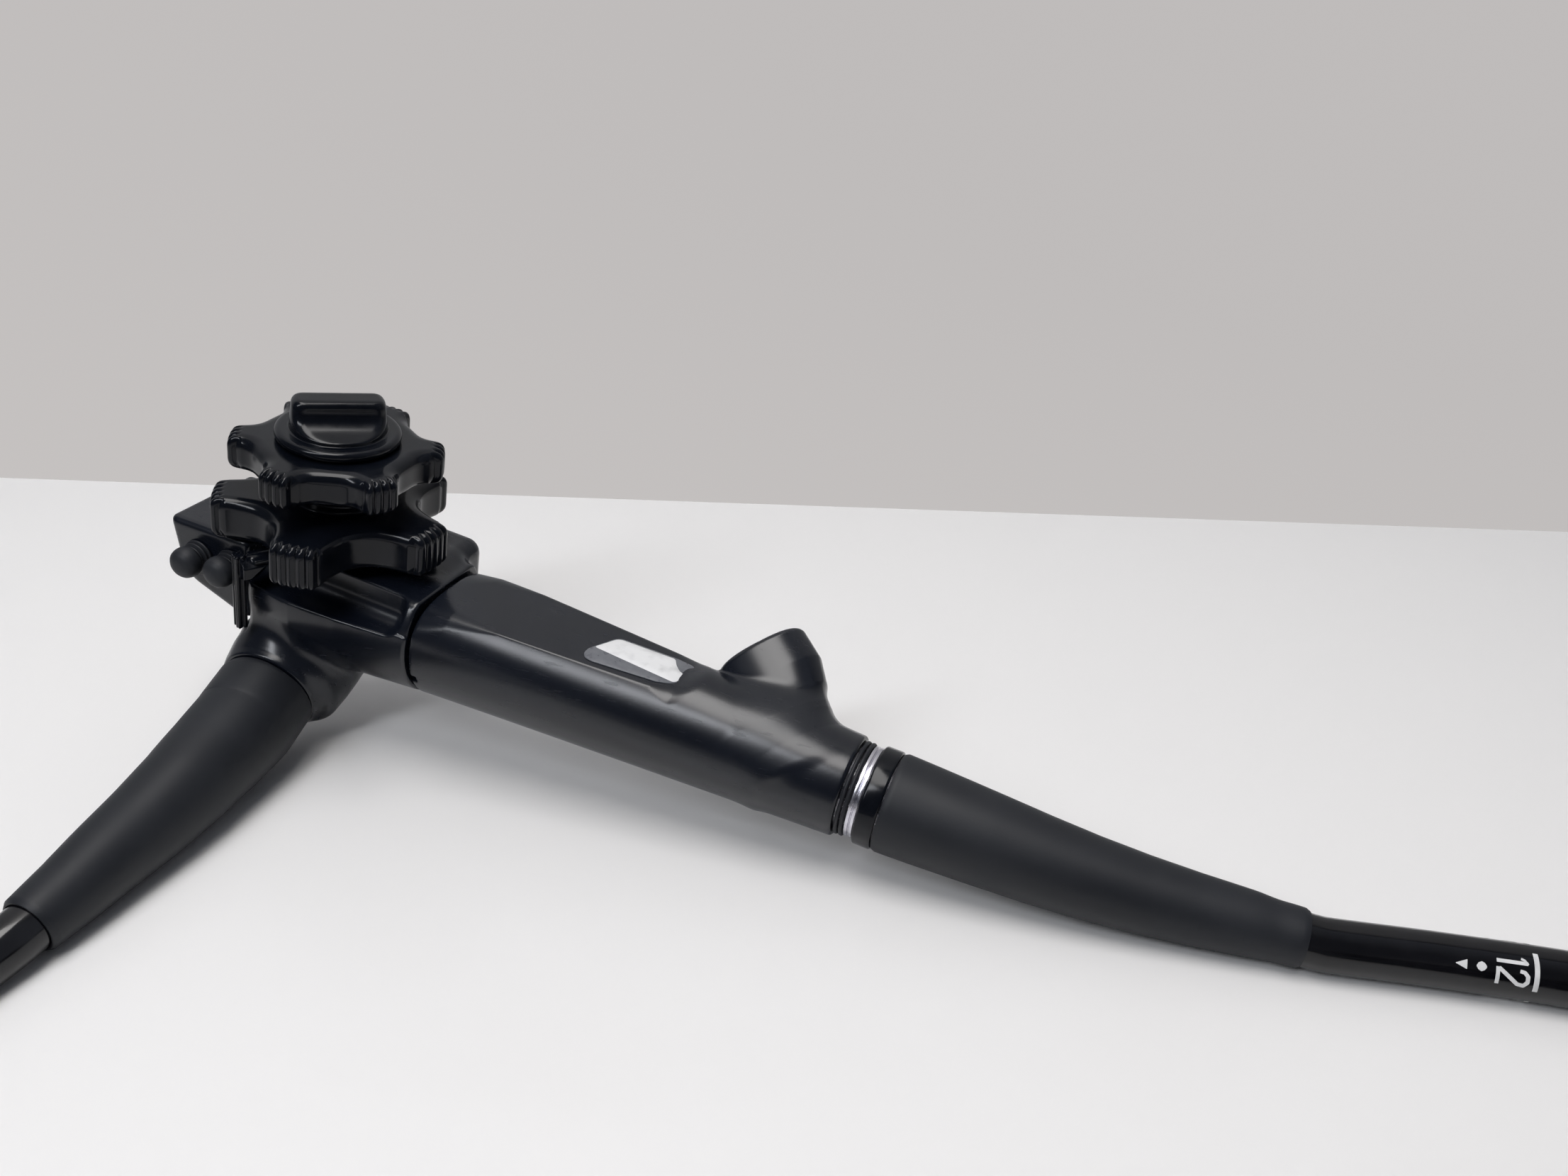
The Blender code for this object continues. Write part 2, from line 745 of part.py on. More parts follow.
def to_bench(point):
    """A point of the body frame, in the bench frame."""
    return Matrix.Rotation(LEAN, 3, "Y") @ point + Vector((0.0, 0.0, BODY_HEIGHT))


def coil_solid(name, bottom, height, mat):
    """Outer shape of a cord's coil: a turned ring."""
    inner = COIL_RADIUS - COIL_HALF_WIDTH
    edge = 4.0 * MM
    profile = (
        (inner, 0.0),
        (inner, height - edge),
        (inner + edge, height),
        (COIL_OUTSIDE - edge, height),
        (COIL_OUTSIDE, height - edge),
        (COIL_OUTSIDE, 0.0),
    )
    at = COIL_AT + Vector((0.0, 0.0, bottom))
    return turned(name, profile, mat, BENCH, at, steps=24)


def beside_coil(angle, radius, height):
    """Where a cord of this radius touches the coil's outside."""
    reach = COIL_OUTSIDE + radius + GAP
    return COIL_AT + Vector((reach * math.cos(angle), reach * math.sin(angle), height))


def build_insertion_tube(boot):
    height = TUBE_RADIUS + 0.05 * MM
    route = out_of_boot([to_bench(point) for point in boot])
    route += [*TUBE_ROUTE, beside_coil(COIL_ENTRY, TUBE_RADIUS, height)]
    cord("insertion_tube", route, TUBE_RADIUS, tube_polymer(), BENCH, 14.0 * MM, 3)
    coil_solid("insertion_coil", 0.0, TUBE_COIL_HEIGHT, tube_polymer())
    end = BEND_START + Vector((3.4 * MM, 0.0, 0.05 * MM))
    route = [beside_coil(-0.5 * math.pi, TUBE_RADIUS, height), *TUBE_END_ROUTE, end]
    cord("insertion_tube_end", route, TUBE_RADIUS, tube_polymer(), BENCH, 14.0 * MM, 3)


def vertebra_ring(x, radius, side, hinge, slant):
    """One end of a vertebra, cut slanting to both sides of its hinge."""
    ring = []
    for k in range(16):
        angle = 2.0 * math.pi * k / 16
        y = radius * math.cos(angle)
        z = radius * math.sin(angle)
        lever = abs(y) if hinge == "z" else abs(z)
        ring.append(Vector((x + side * (0.5 * GAP + lever * math.tan(slant)), y, z)))
    return ring


def build_bending_section():
    """Vertebrae that hinge in turn about z and y, then the distal tip."""
    chain = bpy.data.objects.new("bend_frame", None)
    chain.parent = BENCH
    chain.location = BEND_START
    chain.rotation_euler = (0.0, 0.0, BEND_HEADING)
    PARTS.objects.link(chain)
    hinges = ["z" if i % 2 == 0 else "y" for i in range(VERTEBRA_COUNT)]
    last = VERTEBRA_COUNT - 1

    def vertebra(name, start, first, end, second):
        """Vertebra between two hinge points; first or second is None on a square end."""
        walls = []
        slants = [VERTEBRA_CUT if hinge else 0.0 for hinge in (first, second)]
        for radius in (VERTEBRA_RADIUS, VERTEBRA_BORE):
            near = vertebra_ring(start, radius, 1.0, first or "z", slants[0])
            far = vertebra_ring(end, radius, -1.0, second or "z", slants[1])
            walls.append((near, far))
        rings = [walls[0][0], walls[0][1], walls[1][1], walls[1][0]]
        return loft(name, rings, bright_metal(), chain, closed=True)

    base_start = -2.8 * MM
    first_hinge = 4.0 * MM
    vertebra("bend_base", base_start, None, first_hinge, hinges[0])
    for i in range(last):
        start = first_hinge + i * VERTEBRA_PITCH
        vertebra(f"vertebra_{i + 1}", start, hinges[i], start + VERTEBRA_PITCH, hinges[i + 1])
    root = first_hinge + last * VERTEBRA_PITCH
    build_tip(chain, root, hinges[last])


def build_tip(chain, root, hinge):
    """Distal tip with its optics and the instrument elevator in its slot."""
    neck = 4.0 * MM
    rings = [
        vertebra_ring(root, VERTEBRA_RADIUS, 1.0, hinge, VERTEBRA_CUT),
    ]
    nose = root + neck + TIP_LENGTH
    for x, radius in (
        (root + neck - 0.6 * MM, VERTEBRA_RADIUS),
        (root + neck, TIP_RADIUS),
        (nose - 2.0 * MM, TIP_RADIUS),
        (nose - 0.5 * MM, TIP_RADIUS - 0.9 * MM),
        (nose, TIP_RADIUS - 2.4 * MM),
    ):
        rings.append(
            [
                Vector((x, radius * math.cos(angle), radius * math.sin(angle)))
                for angle in (2.0 * math.pi * k / 16 for k in range(16))
            ]
        )
    tip = loft("distal_tip", rings, knob_plastic(), chain)
    slot_start = root + neck + 9.0 * MM
    slot_length = 11.5 * MM
    slot_floor = -2.6 * MM
    slot_top = TIP_RADIUS + MM
    combine(
        tip,
        block(
            "elevator_slot",
            (slot_length, ELEVATOR_WIDTH + 2.0 * GAP, slot_top - slot_floor),
            None,
            chain,
            (slot_start + 0.5 * slot_length, 0.0, 0.5 * (slot_top + slot_floor)),
        ),
    )
    channel = Vector((root + 0.5 * (slot_start - root), 0.0, -0.6 * MM))
    reach = slot_start - root + 2.0 * MM
    combine(tip, rod("tip_channel", 1.6 * MM, reach, None, chain, channel, Vector((1.0, 0.0, 0.0)), 16))
    ramp = [(0.35, -0.9), (1.2, -0.1), (8.6, 1.6), (9.4, 1.2), (9.4, 0.2), (1.2, -2.2), (0.35, -1.6)]
    outline = [(x * MM, z * MM) for x, z in ramp]
    half = 0.5 * ELEVATOR_WIDTH
    upright = (0.5 * math.pi, 0.0, 0.0)
    prism("elevator", outline, -half, half, bright_metal(), chain, (slot_start, 0.0, 0.0), upright)


def build_head():
    """Head housing with the wheel bearing, the umbilical boss and the valve block."""
    stations = (
        (HEAD_START, 17.6, 0.98),
        (HEAD_START + 2.0 * MM, 19.6, 1.0),
        (0.0, 21.0, 1.0),
        (14.0 * MM, 20.8, 0.97),
        (GRIP_START - SEAM_GAP, 19.35, 0.93),
    )
    rings = [body_section(x, radius * MM, FACET_HEIGHT, squash) for x, radius, squash in stations]
    head = loft("head_housing", rings, shell_plastic(), BODY)
    boss_axis = Vector((0.12, -0.97, -0.2)).normalized()
    centres = []
    radii = []
    for back, shift, lift, radius in BOSS_FLARE:
        centres.append(RING_CENTRE - boss_axis * back * MM + Vector((shift * MM, 0.0, lift * MM)))
        radii.append(radius * MM)
    boss = loft("umbilical_boss", sleeve_rings(centres, radii, 28, -boss_axis), None, BODY)
    combine(head, boss, "UNION")
    seat = block(
        "box_seat",
        (40.0 * MM, 80.0 * MM, 50.0 * MM),
        None,
        BODY,
        (HEAD_START - 20.0 * MM, 0.0, 25.0 * MM - BOX_SEAT_DEPTH),
    )
    combine(head, seat)
    block_size = (40.0 * MM, 22.0 * MM, 17.0 * MM)
    valve_block = block(
        "valve_block",
        block_size,
        None,
        BODY,
        (10.5 * MM, VALVE_BLOCK_Y - 0.5 * block_size[1], VALVE_AXIS_Z),
    )
    bevel(valve_block, 4.0 * MM, 3)
    combine(head, valve_block, "UNION")
    recess_length = RECESS_END_X - HEAD_START + 12.0 * MM
    recess = block(
        "wheel_recess",
        (recess_length, 20.0 * MM, 20.0 * MM),
        None,
        BODY,
        (RECESS_END_X - 0.5 * recess_length, RECESS_WALL_Y - 10.0 * MM, RECESS_FLOOR + 10.0 * MM),
    )
    bevel(recess, RECESS_CORNER, 3)
    combine(head, recess)
    cavity_end = GRIP_START + 2.0 * MM
    cavity_start = HEAD_START - 2.0 * MM
    cavity = block(
        "head_cavity",
        (cavity_end - cavity_start, 20.0 * MM, 23.6 * MM),
        None,
        BODY,
        (0.5 * (cavity_end + cavity_start), 1.2 * MM, -1.2 * MM),
    )
    combine(head, cavity)
    up = Vector((0.0, 0.0, 1.0))
    combine(head, rod("shaft_hole", UD_SHAFT_RADIUS + GAP, 12.0 * MM, None, BODY, up * 12.0 * MM, up, 32))
    bore_centre = RING_CENTRE - boss_axis * (0.5 * BOSS_DEPTH - MM)
    combine(head, rod("boss_bore", BOSS_BORE, BOSS_DEPTH, None, BODY, bore_centre, boss_axis))
    start = RING_CENTRE - boss_axis * (BOSS_DEPTH - 3.0 * MM)
    run = PASSAGE_END - start
    middle = 0.5 * (start + PASSAGE_END)
    combine(head, rod("boss_passage", PASSAGE_RADIUS, run.length, None, BODY, middle, run))
    across = Vector((0.0, 1.0, 0.0))
    for i, x in enumerate(VALVE_X):
        centre = Vector((x, VALVE_BLOCK_Y - 4.0 * MM, VALVE_AXIS_Z))
        radius = VALVE_BORE + VALVE_LINER_WALL + GAP
        combine(head, rod(f"valve_hole_{i + 1}", radius, 22.0 * MM, None, BODY, centre, across))
        profile = (
            (VALVE_BORE, -11.0 * MM),
            (VALVE_BORE, 3.0 * MM),
            (radius + 1.1 * MM, 3.0 * MM),
            (radius + 1.1 * MM, 0.4 * MM),
            (radius - GAP, 0.4 * MM),
            (radius - GAP, -11.0 * MM),
        )
        name = "air_water_cylinder" if i == 0 else "suction_cylinder"
        at = Vector((x, VALVE_BLOCK_Y, VALVE_AXIS_Z))
        turned(name, profile, bright_metal(), BODY, at, towards(across), 24)
    return head, boss_axis


def build_switch_box():
    """Switch housing at the end of the head; its walls splay towards the head."""
    join = HEAD_START - GAP
    top = BOX_TOP
    corners = (
        (BOX_END_X, BOX_FRONT_Y, top),
        (join, BOX_FRONT_Y + 1.0 * MM, top),
        (join, BOX_BACK_Y, top),
        (BOX_END_X, BOX_BACK_Y, top),
        (BOX_END_X + 4.0 * MM, BOX_FRONT_Y, -3.0 * MM),
        (join, BOX_FRONT_Y + 1.0 * MM, -10.5 * MM),
        (join, BOX_BACK_Y, -10.5 * MM),
        (BOX_END_X + 4.0 * MM, BOX_BACK_Y, -3.0 * MM),
    )
    bm = bmesh.new()
    for corner in corners:
        bm.verts.new(corner)
    bmesh.ops.convex_hull(bm, input=bm.verts)
    bmesh.ops.dissolve_limit(bm, angle_limit=math.radians(2.0), verts=bm.verts, edges=bm.edges)
    box = link("switch_box", mesh_from(bm, "switch_box", rounded=False), shell_plastic(), BODY)
    bevel(box, 2.2 * MM, 3)
    length = join - BOX_END_X - BOX_WALL
    width = BOX_BACK_Y - BOX_FRONT_Y - 2.0 * BOX_WALL - 1.0 * MM
    height = 12.0 * MM
    hollow = block(
        "box_hollow",
        (length + 2.0 * MM, width, height),
        None,
        BODY,
        (
            join - 0.5 * length + MM,
            0.5 * (BOX_BACK_Y + BOX_FRONT_Y) + 0.5 * MM,
            top - BOX_WALL - 0.5 * height,
        ),
    )
    combine(box, hollow)
    build_switches(box)
    return box


def build_switches(box):
    """Four rubber remote switches, two on the front of the box and two on its back."""
    cap = (
        (0.0, 4.4),
        (2.0, 4.1),
        (3.5, 3.1),
        (4.3, 1.4),
        (4.0, 0.2),
        (3.0, -0.5),
        (1.6, -0.5),
        (1.6, -8.2),
        (0.0, -8.2),
    )
    bellows = (
        (2.2, 0.3),
        (2.2, 4.1),
        (2.9, 4.1),
        (3.4, 3.5),
        (2.9, 2.9),
        (3.8, 2.2),
        (3.2, 1.5),
        (4.4, 0.9),
        (4.4, 0.3),
    )
    number = 0
    for side in (-1.0, 1.0):
        face = BOX_FRONT_Y if side < 0.0 else BOX_BACK_Y
        outward = Vector((0.0, side, 0.0))
        for x, z in zip(SWITCH_X, SWITCH_Z):
            number += 1
            at = Vector((x, face, z))
            if side < 0.0:
                at.y += MM * (x - BOX_END_X) / (HEAD_START - BOX_END_X)
            hole = rod(f"switch_hole_{number}", 2.9 * MM, 16.0 * MM, None, BODY, at, outward, 20)
            combine(box, hole)
            turned(
                f"switch_boot_{number}",
                [(radius * MM, height * MM) for radius, height in bellows],
                soft_rubber(),
                BODY,
                at,
                towards(outward),
                12,
            )
            turned(
                f"remote_switch_{number}",
                [(radius * MM, height * MM) for radius, height in cap],
                soft_rubber(),
                BODY,
                at + outward * 6.2 * MM,
                towards(outward),
                12,
            )


def wheel_outline(radius, valley, lobes, phase, width, ribs):
    """Outline of a control wheel: ribbed lobe ends between hollowed flanks."""
    outline = []
    half = math.asin(0.5 * width / radius)
    pitch = 2.0 * math.pi / lobes
    steps = 2 * ribs
    for lobe in range(lobes):
        middle = phase + lobe * pitch
        for k in range(steps + 1):
            angle = middle - half + 2.0 * half * k / steps
            reach = radius - (RIB_DEPTH if k % 2 == 0 else 0.0)
            outline.append((reach * math.cos(angle), reach * math.sin(angle)))
        for k in range(1, 7):
            share = k / 7.0
            angle = middle + half + (pitch - 2.0 * half) * share
            bow = math.sin(math.pi * share) ** 0.62
            reach = radius - (radius - valley) * bow
            outline.append((reach * math.cos(angle), reach * math.sin(angle)))
    return outline


def build_wheels():
    up = Vector((0.0, 0.0, 1.0))
    outline = wheel_outline(UD_RADIUS, UD_VALLEY, UD_LOBES, UD_PHASE, UD_LOBE_WIDTH, 4)
    height = UD_TOP - UD_BOTTOM
    ud_wheel = prism("ud_wheel", outline, 0.0, height, knob_plastic(), BODY, (0.0, 0.0, UD_BOTTOM))
    bevel(ud_wheel, 1.2 * MM, 1, 60.0)
    hub_middle = up * 0.5 * (UD_BOTTOM + HUB_TOP)
    hub = rod("ud_hub", HUB_RADIUS, HUB_TOP - UD_BOTTOM - MM, None, BODY, hub_middle, up, 36)
    combine(ud_wheel, hub, "UNION")
    bore = RL_SHAFT_RADIUS + GAP
    combine(ud_wheel, rod("ud_bore", bore, 40.0 * MM, None, BODY, hub_middle, up))

    outline = wheel_outline(RL_RADIUS, RL_VALLEY, RL_LOBES, RL_PHASE, RL_LOBE_WIDTH, 4)
    height = RL_TOP - RL_BOTTOM
    rl_wheel = prism("rl_wheel", outline, 0.0, height, knob_plastic(), BODY, (0.0, 0.0, RL_BOTTOM))
    bevel(rl_wheel, 1.2 * MM, 1, 60.0)
    skirt_bottom = HUB_TOP
    skirt_middle = up * 0.5 * (skirt_bottom + RL_BOTTOM + 2.0 * MM)
    skirt_height = RL_BOTTOM + 2.0 * MM - skirt_bottom
    combine(rl_wheel, rod("rl_skirt", HUB_RADIUS + MM, skirt_height, None, BODY, skirt_middle, up, 36), "UNION")
    combine(rl_wheel, rod("rl_bore", POST_RADIUS + GAP, 40.0 * MM, None, BODY, up * RL_BOTTOM, up))
    build_brake_knob(up)
    build_shafts(skirt_bottom)


def build_brake_knob(up):
    profile = (
        (0.0, BRAKE_BASE_TOP),
        (BRAKE_BASE_RADIUS - 0.8 * MM, BRAKE_BASE_TOP),
        (BRAKE_BASE_RADIUS, BRAKE_BASE_TOP - 0.8 * MM),
        (BRAKE_BASE_RADIUS, FLANGE_TOP),
        (FLANGE_RADIUS - 0.9 * MM, FLANGE_TOP),
        (FLANGE_RADIUS, FLANGE_TOP - 0.9 * MM),
        (FLANGE_RADIUS, FLANGE_BOTTOM),
        (0.0, FLANGE_BOTTOM),
    )
    base = FLANGE_BOTTOM
    profile = [(radius, height - base) for radius, height in profile]
    knob = turned("rl_brake_knob", profile, knob_plastic(), BODY, (0.0, 0.0, base), steps=32)
    levels = (
        (BRAKE_BASE_TOP - 1.0 * MM, 1.12, 2.35),
        (BRAKE_BASE_TOP + 0.6 * MM, 1.1, 1.75),
        (BRAKE_BASE_TOP + 2.6 * MM, 1.05, 1.2),
        (BAR_TOP - 1.6 * MM, 1.0, 1.0),
        (BAR_TOP - 0.4 * MM, 0.95, 0.9),
        (BAR_TOP, 0.88, 0.72),
    )
    rings = []
    for z, long_share, wide_share in levels:
        ring = []
        for k in range(24):
            angle = 2.0 * math.pi * k / 24
            x = 0.5 * BAR_LENGTH * long_share * math.copysign(abs(math.cos(angle)) ** 0.45, math.cos(angle))
            y = 0.5 * BAR_WIDTH * wide_share * math.copysign(abs(math.sin(angle)) ** 0.45, math.sin(angle))
            reach = math.hypot(x, y)
            limit = BRAKE_BASE_RADIUS - 0.3 * MM
            scale = min(1.0, limit / reach)
            ring.append(Matrix.Rotation(BAR_ANGLE, 3, "Z") @ Vector((x * scale, y * scale, z)))
        rings.append(ring)
    combine(knob, loft("brake_bar", rings, None, BODY), "UNION")
    hole = up * (POST_TOP + 0.4 * MM - 0.5 * POST_HOLE_DEPTH)
    combine(knob, rod("brake_bore", POST_RADIUS + GAP, POST_HOLE_DEPTH, None, BODY, hole, up))


def build_shafts(skirt_bottom):
    """Fixed post, the two turning shafts with their drums, and the pull wires."""
    post_foot = CHASSIS_TOP + GAP
    up = Vector((0.0, 0.0, 1.0))
    middle = up * 0.5 * (post_foot + POST_TOP)
    rod("centre_post", POST_RADIUS, POST_TOP - post_foot, bright_metal(), BODY, middle, up)

    def shaft(name, bore, radius, drum_bottom, top):
        profile = (
            (bore, drum_bottom),
            (bore, top),
            (radius, top),
            (radius, drum_bottom + DRUM_HEIGHT),
            (DRUM_RADIUS, drum_bottom + DRUM_HEIGHT),
            (DRUM_RADIUS - 0.8 * MM, drum_bottom + 0.5 * DRUM_HEIGHT),
            (DRUM_RADIUS, drum_bottom),
        )
        turned(name, profile, bright_metal(), BODY, steps=20)

    shaft("rl_shaft", POST_RADIUS + GAP, RL_SHAFT_RADIUS, RL_DRUM_Z, skirt_bottom - GAP)
    shaft("ud_shaft", RL_SHAFT_RADIUS + GAP, UD_SHAFT_RADIUS, UD_DRUM_Z, UD_BOTTOM - GAP)

    chassis_end = 122.0 * MM
    chassis_start = -13.0 * MM
    plate = block(
        "chassis_plate",
        (chassis_end - chassis_start, 13.0 * MM, CHASSIS_THICKNESS),
        bright_metal(),
        BODY,
        (0.5 * (chassis_end + chassis_start), 0.0, CHASSIS_TOP - 0.5 * CHASSIS_THICKNESS),
    )
    bevel(plate, 0.4 * MM, 1)
    for name, drum in (("rl_wire", RL_DRUM_Z), ("ud_wire", UD_DRUM_Z)):
        z = drum + 0.5 * DRUM_HEIGHT
        reach = DRUM_RADIUS + WIRE_RADIUS + GAP
        end = SLEEVE_START + 4.0 * MM
        turn = [Vector((-reach * math.sin(a), reach * math.cos(a), z)) for a in (0.0, 0.8, 1.57, 2.34, 3.1416)]
        route = [Vector((end, reach, z)), Vector((60.0 * MM, reach, z)), Vector((8.0 * MM, reach, z))]
        route += turn
        route += [Vector((8.0 * MM, -reach, z)), Vector((60.0 * MM, -reach, z)), Vector((end, -reach, z))]
        cord(name, route, WIRE_RADIUS, bright_metal(), BODY, 6.5 * MM, 1)


def arm_outline(angle, reach, hub, width):
    """Outline of a lever: a hub circle with a straight arm to one side."""
    outline = []
    half = math.asin(0.5 * width / hub)
    steps = 20
    for k in range(steps + 1):
        turn = angle + half + (2.0 * math.pi - 2.0 * half) * k / steps
        outline.append((hub * math.cos(turn), hub * math.sin(turn)))
    ahead = Vector((math.cos(angle), math.sin(angle)))
    side = Vector((-ahead.y, ahead.x))
    for sign in (-1.0, 1.0):
        corner = ahead * reach + side * sign * 0.5 * width
        outline.append((corner.x, corner.y))
    return outline


def build_levers():
    """Elevator lever and wheel brake lever, stacked under the lower wheel."""
    up = Vector((0.0, 0.0, 1.0))
    bore = UD_SHAFT_RADIUS + GAP
    elevator = prism(
        "elevator_lever",
        arm_outline(ELEVATOR_ANGLE, ELEVATOR_REACH - 1.5 * MM, LEVER_HUB, 6.0 * MM),
        0.0,
        LEVER_THICKNESS,
        knob_plastic(),
        BODY,
        (0.0, 0.0, ELEVATOR_BOTTOM),
    )
    ahead = Vector((math.cos(ELEVATOR_ANGLE), math.sin(ELEVATOR_ANGLE), 0.0))
    turn = (0.0, 0.0, ELEVATOR_ANGLE)
    arm_start = 17.5 * MM
    arm_length = ELEVATOR_REACH - arm_start - 0.3 * MM
    arm = block(
        "lever_arm",
        (arm_length, 5.0 * MM, 4.4 * MM),
        None,
        BODY,
        ahead * (arm_start + 0.5 * arm_length) + up * (ELEVATOR_BOTTOM + LEVER_THICKNESS - 1.9 * MM),
        turn,
    )
    bevel(arm, 0.8 * MM, 1)
    combine(elevator, arm, "UNION")
    half_depth = 0.5 * THUMB_DEPTH
    half_width = 0.5 * THUMB_WIDTH
    outline = [(half_depth, half_width), (-half_depth, half_width)]
    for k in range(9):
        out = half_width + (0.0 if k % 2 else -RIB_DEPTH)
        outline.append((half_depth * (k / 4.0 - 1.0), -out))
    reach = ahead * ELEVATOR_REACH
    thumb = prism("lever_thumb", outline, THUMB_BOTTOM, THUMB_TOP, None, BODY, reach, turn)
    combine(elevator, thumb, "UNION")
    combine(elevator, rod("elevator_bore", bore, 8.0 * MM, None, BODY, up * ELEVATOR_BOTTOM, up, 28))

    brake = prism(
        "ud_brake_lever",
        arm_outline(BRAKE_LEVER_ANGLE, BRAKE_LEVER_REACH, LEVER_HUB, 5.0 * MM),
        0.0,
        LEVER_THICKNESS,
        knob_plastic(),
        BODY,
        (0.0, 0.0, BRAKE_LEVER_BOTTOM),
    )
    ahead = Vector((math.cos(BRAKE_LEVER_ANGLE), math.sin(BRAKE_LEVER_ANGLE), 0.0))
    tab = block(
        "brake_tab",
        (2.6 * MM, 7.0 * MM, 6.4 * MM),
        None,
        BODY,
        ahead * BRAKE_LEVER_REACH + up * (BRAKE_LEVER_BOTTOM + LEVER_THICKNESS - 3.0 * MM),
        (0.0, 0.0, BRAKE_LEVER_ANGLE),
    )
    bevel(tab, 0.7 * MM, 2)
    combine(brake, tab, "UNION")
    combine(brake, rod("brake_lever_bore", bore, 8.0 * MM, None, BODY, up * BRAKE_LEVER_BOTTOM, up, 28))


def build_umbilical(boss_axis):
    """Umbilical boot, its cable to the coil, and the light guide inside the boss."""
    ring_gap = 0.35 * MM
    centres = smooth_route([RING_CENTRE + boss_axis * ring_gap, *UMBILICAL_BOOT_ROUTE], 12.0 * MM)
    last = len(centres) - 1
    outer = []
    for i in range(last + 1):
        share = i / last
        outer.append((13.5 - 6.0 * max(0.0, (share - 0.12) / 0.88) ** 1.2) * MM)
    inner = [BOSS_BORE if i < 2 else CABLE_RADIUS + GAP for i in range(last + 1)]
    hollow_sleeve("umbilical_boot", centres, outer, inner, soft_rubber(), BODY, start=boss_axis)
    route = out_of_boot([to_bench(point) for point in centres])
    route += [*CABLE_ROUTE, beside_coil(CABLE_ENTRY, CABLE_RADIUS, CABLE_COIL_BOTTOM + CABLE_RADIUS)]
    cord("umbilical_cable", route, CABLE_RADIUS, tube_polymer(), BENCH, 14.0 * MM, 3)
    coil_solid("umbilical_coil", CABLE_COIL_BOTTOM, CABLE_COIL_HEIGHT, tube_polymer())
    guide = [
        RING_CENTRE + boss_axis * 4.0 * MM,
        RING_CENTRE - boss_axis * 4.0 * MM,
        0.5 * (RING_CENTRE - boss_axis * 6.0 * MM + PASSAGE_END),
        *LIGHT_GUIDE_ROUTE,
    ]
    cord("light_guide", guide, LIGHT_GUIDE_RADIUS, tube_polymer(), BODY, 9.0 * MM, 1)


def build_connector():
    """Plug of the umbilical cable: housing, boot, light guide prong, pipes and contacts."""
    heading = Vector((-1.0, 0.0, 0.0))
    side = Vector((0.0, -1.0, 0.0))
    up = Vector((0.0, 0.0, 1.0))
    turn = towards(heading)
    half = 0.5 * CONNECTOR_LENGTH
    radius = CONNECTOR_RADIUS
    back = CONNECTOR_AT - heading * half
    profile = (
        (0.0, half),
        (radius - 5.0 * MM, half),
        (radius - 3.5 * MM, half - 1.0 * MM),
        (radius - 3.5 * MM, half - 7.0 * MM),
        (radius, half - 9.0 * MM),
        (radius, -half + 22.0 * MM),
        (radius - 4.0 * MM, -half + 8.0 * MM),
        (13.5 * MM, -half),
        (0.0, -half),
    )
    housing = turned("connector_housing", profile, shell_plastic(), BENCH, CONNECTOR_AT, turn, 24)
    front = CONNECTOR_AT + heading * half

    def fitting(name, points, at, direction, steps):
        shape = [(r * MM, z * MM) for r, z in points]
        turned(name, shape, bright_metal(), BENCH, at, towards(direction), steps)

    prong = (
        (0.0, 31.0),
        (3.4, 31.0),
        (3.8, 30.4),
        (3.8, 24.0),
        (4.6, 22.5),
        (4.6, 4.0),
        (6.4, 3.4),
        (6.4, 0.3),
        (0.0, 0.3),
    )
    fitting("light_guide_prong", prong, front - up * 5.0 * MM, heading, 16)
    pipe = ((1.1, 0.3), (1.1, 13.0), (1.9, 13.0), (2.1, 12.4), (2.1, 0.3))
    fitting("air_pipe", pipe, front + side * 8.0 * MM + up * 5.5 * MM, heading, 16)
    contact = ((0.0, 9.0), (4.6, 9.0), (5.0, 8.5), (5.0, 0.3), (0.0, 0.3))
    fitting("contact_plug", contact, front - side * 6.5 * MM + up * 7.0 * MM, heading, 24)
    nipple = ((1.6, 0.3), (1.6, 12.0), (2.6, 12.0), (3.4, 10.6), (2.8, 9.8), (2.8, 2.4), (4.6, 2.2), (4.6, 0.3))
    out = side * math.cos(math.radians(30.0)) + up * math.sin(math.radians(30.0))
    for name, along in (("suction_nipple", 8.0), ("water_port", -8.0)):
        seat = CONNECTOR_AT + heading * along * MM + out * (radius - 0.6 * MM)
        combine(housing, rod(f"{name}_seat", 5.0 * MM, 4.0 * MM, None, BENCH, seat + out * 2.0 * MM, out))
        fitting(name, nipple, seat, out, 12)
    route = [
        back - heading * GAP,
        back - heading * 8.0 * MM,
        back - heading * 20.0 * MM - up * 1.9 * MM,
        back - heading * 34.0 * MM - up * 6.2 * MM,
    ]
    centres = smooth_route(route, 8.5 * MM)
    last = len(centres) - 1
    outer = [(12.2 - 4.6 * (i / last) ** 1.2) * MM for i in range(last + 1)]
    inner = [CABLE_RADIUS + GAP] * (last + 1)
    hollow_sleeve("connector_boot", centres, outer, inner, soft_rubber(), BENCH, 16, -heading)
    lift = up * (COILS_TOP + CABLE_RADIUS + GAP)
    route = [point + lift for point in CABLE_END_ROUTE] + out_of_boot(centres)[::-1]
    cord("umbilical_cable_end", route, CABLE_RADIUS, tube_polymer(), BENCH, 10.0 * MM, 3)


def main():
    clear_scene()
    make_frames()
    build_grip()
    build_port()
    build_sleeve()
    boot = build_insertion_boot()
    build_insertion_tube(boot)
    build_bending_section()
    boss_axis = build_head()[1]
    build_switch_box()
    build_wheels()
    build_levers()
    build_umbilical(boss_axis)
    build_connector()


main()
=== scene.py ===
"""Looks of a flexible endoscope that lies on a white bench with its control wheels up.

Shapes on the control section are worked out in millimetres in the grip's own
frame: x runs along the grip towards the insertion tube, z is the axis of the
control wheels and y points to the valve side. What lies on the bench is worked
out in the bench frame, whose origin is the bench right under the grip's origin.
Both frames are found from the model's joints.
"""

import math

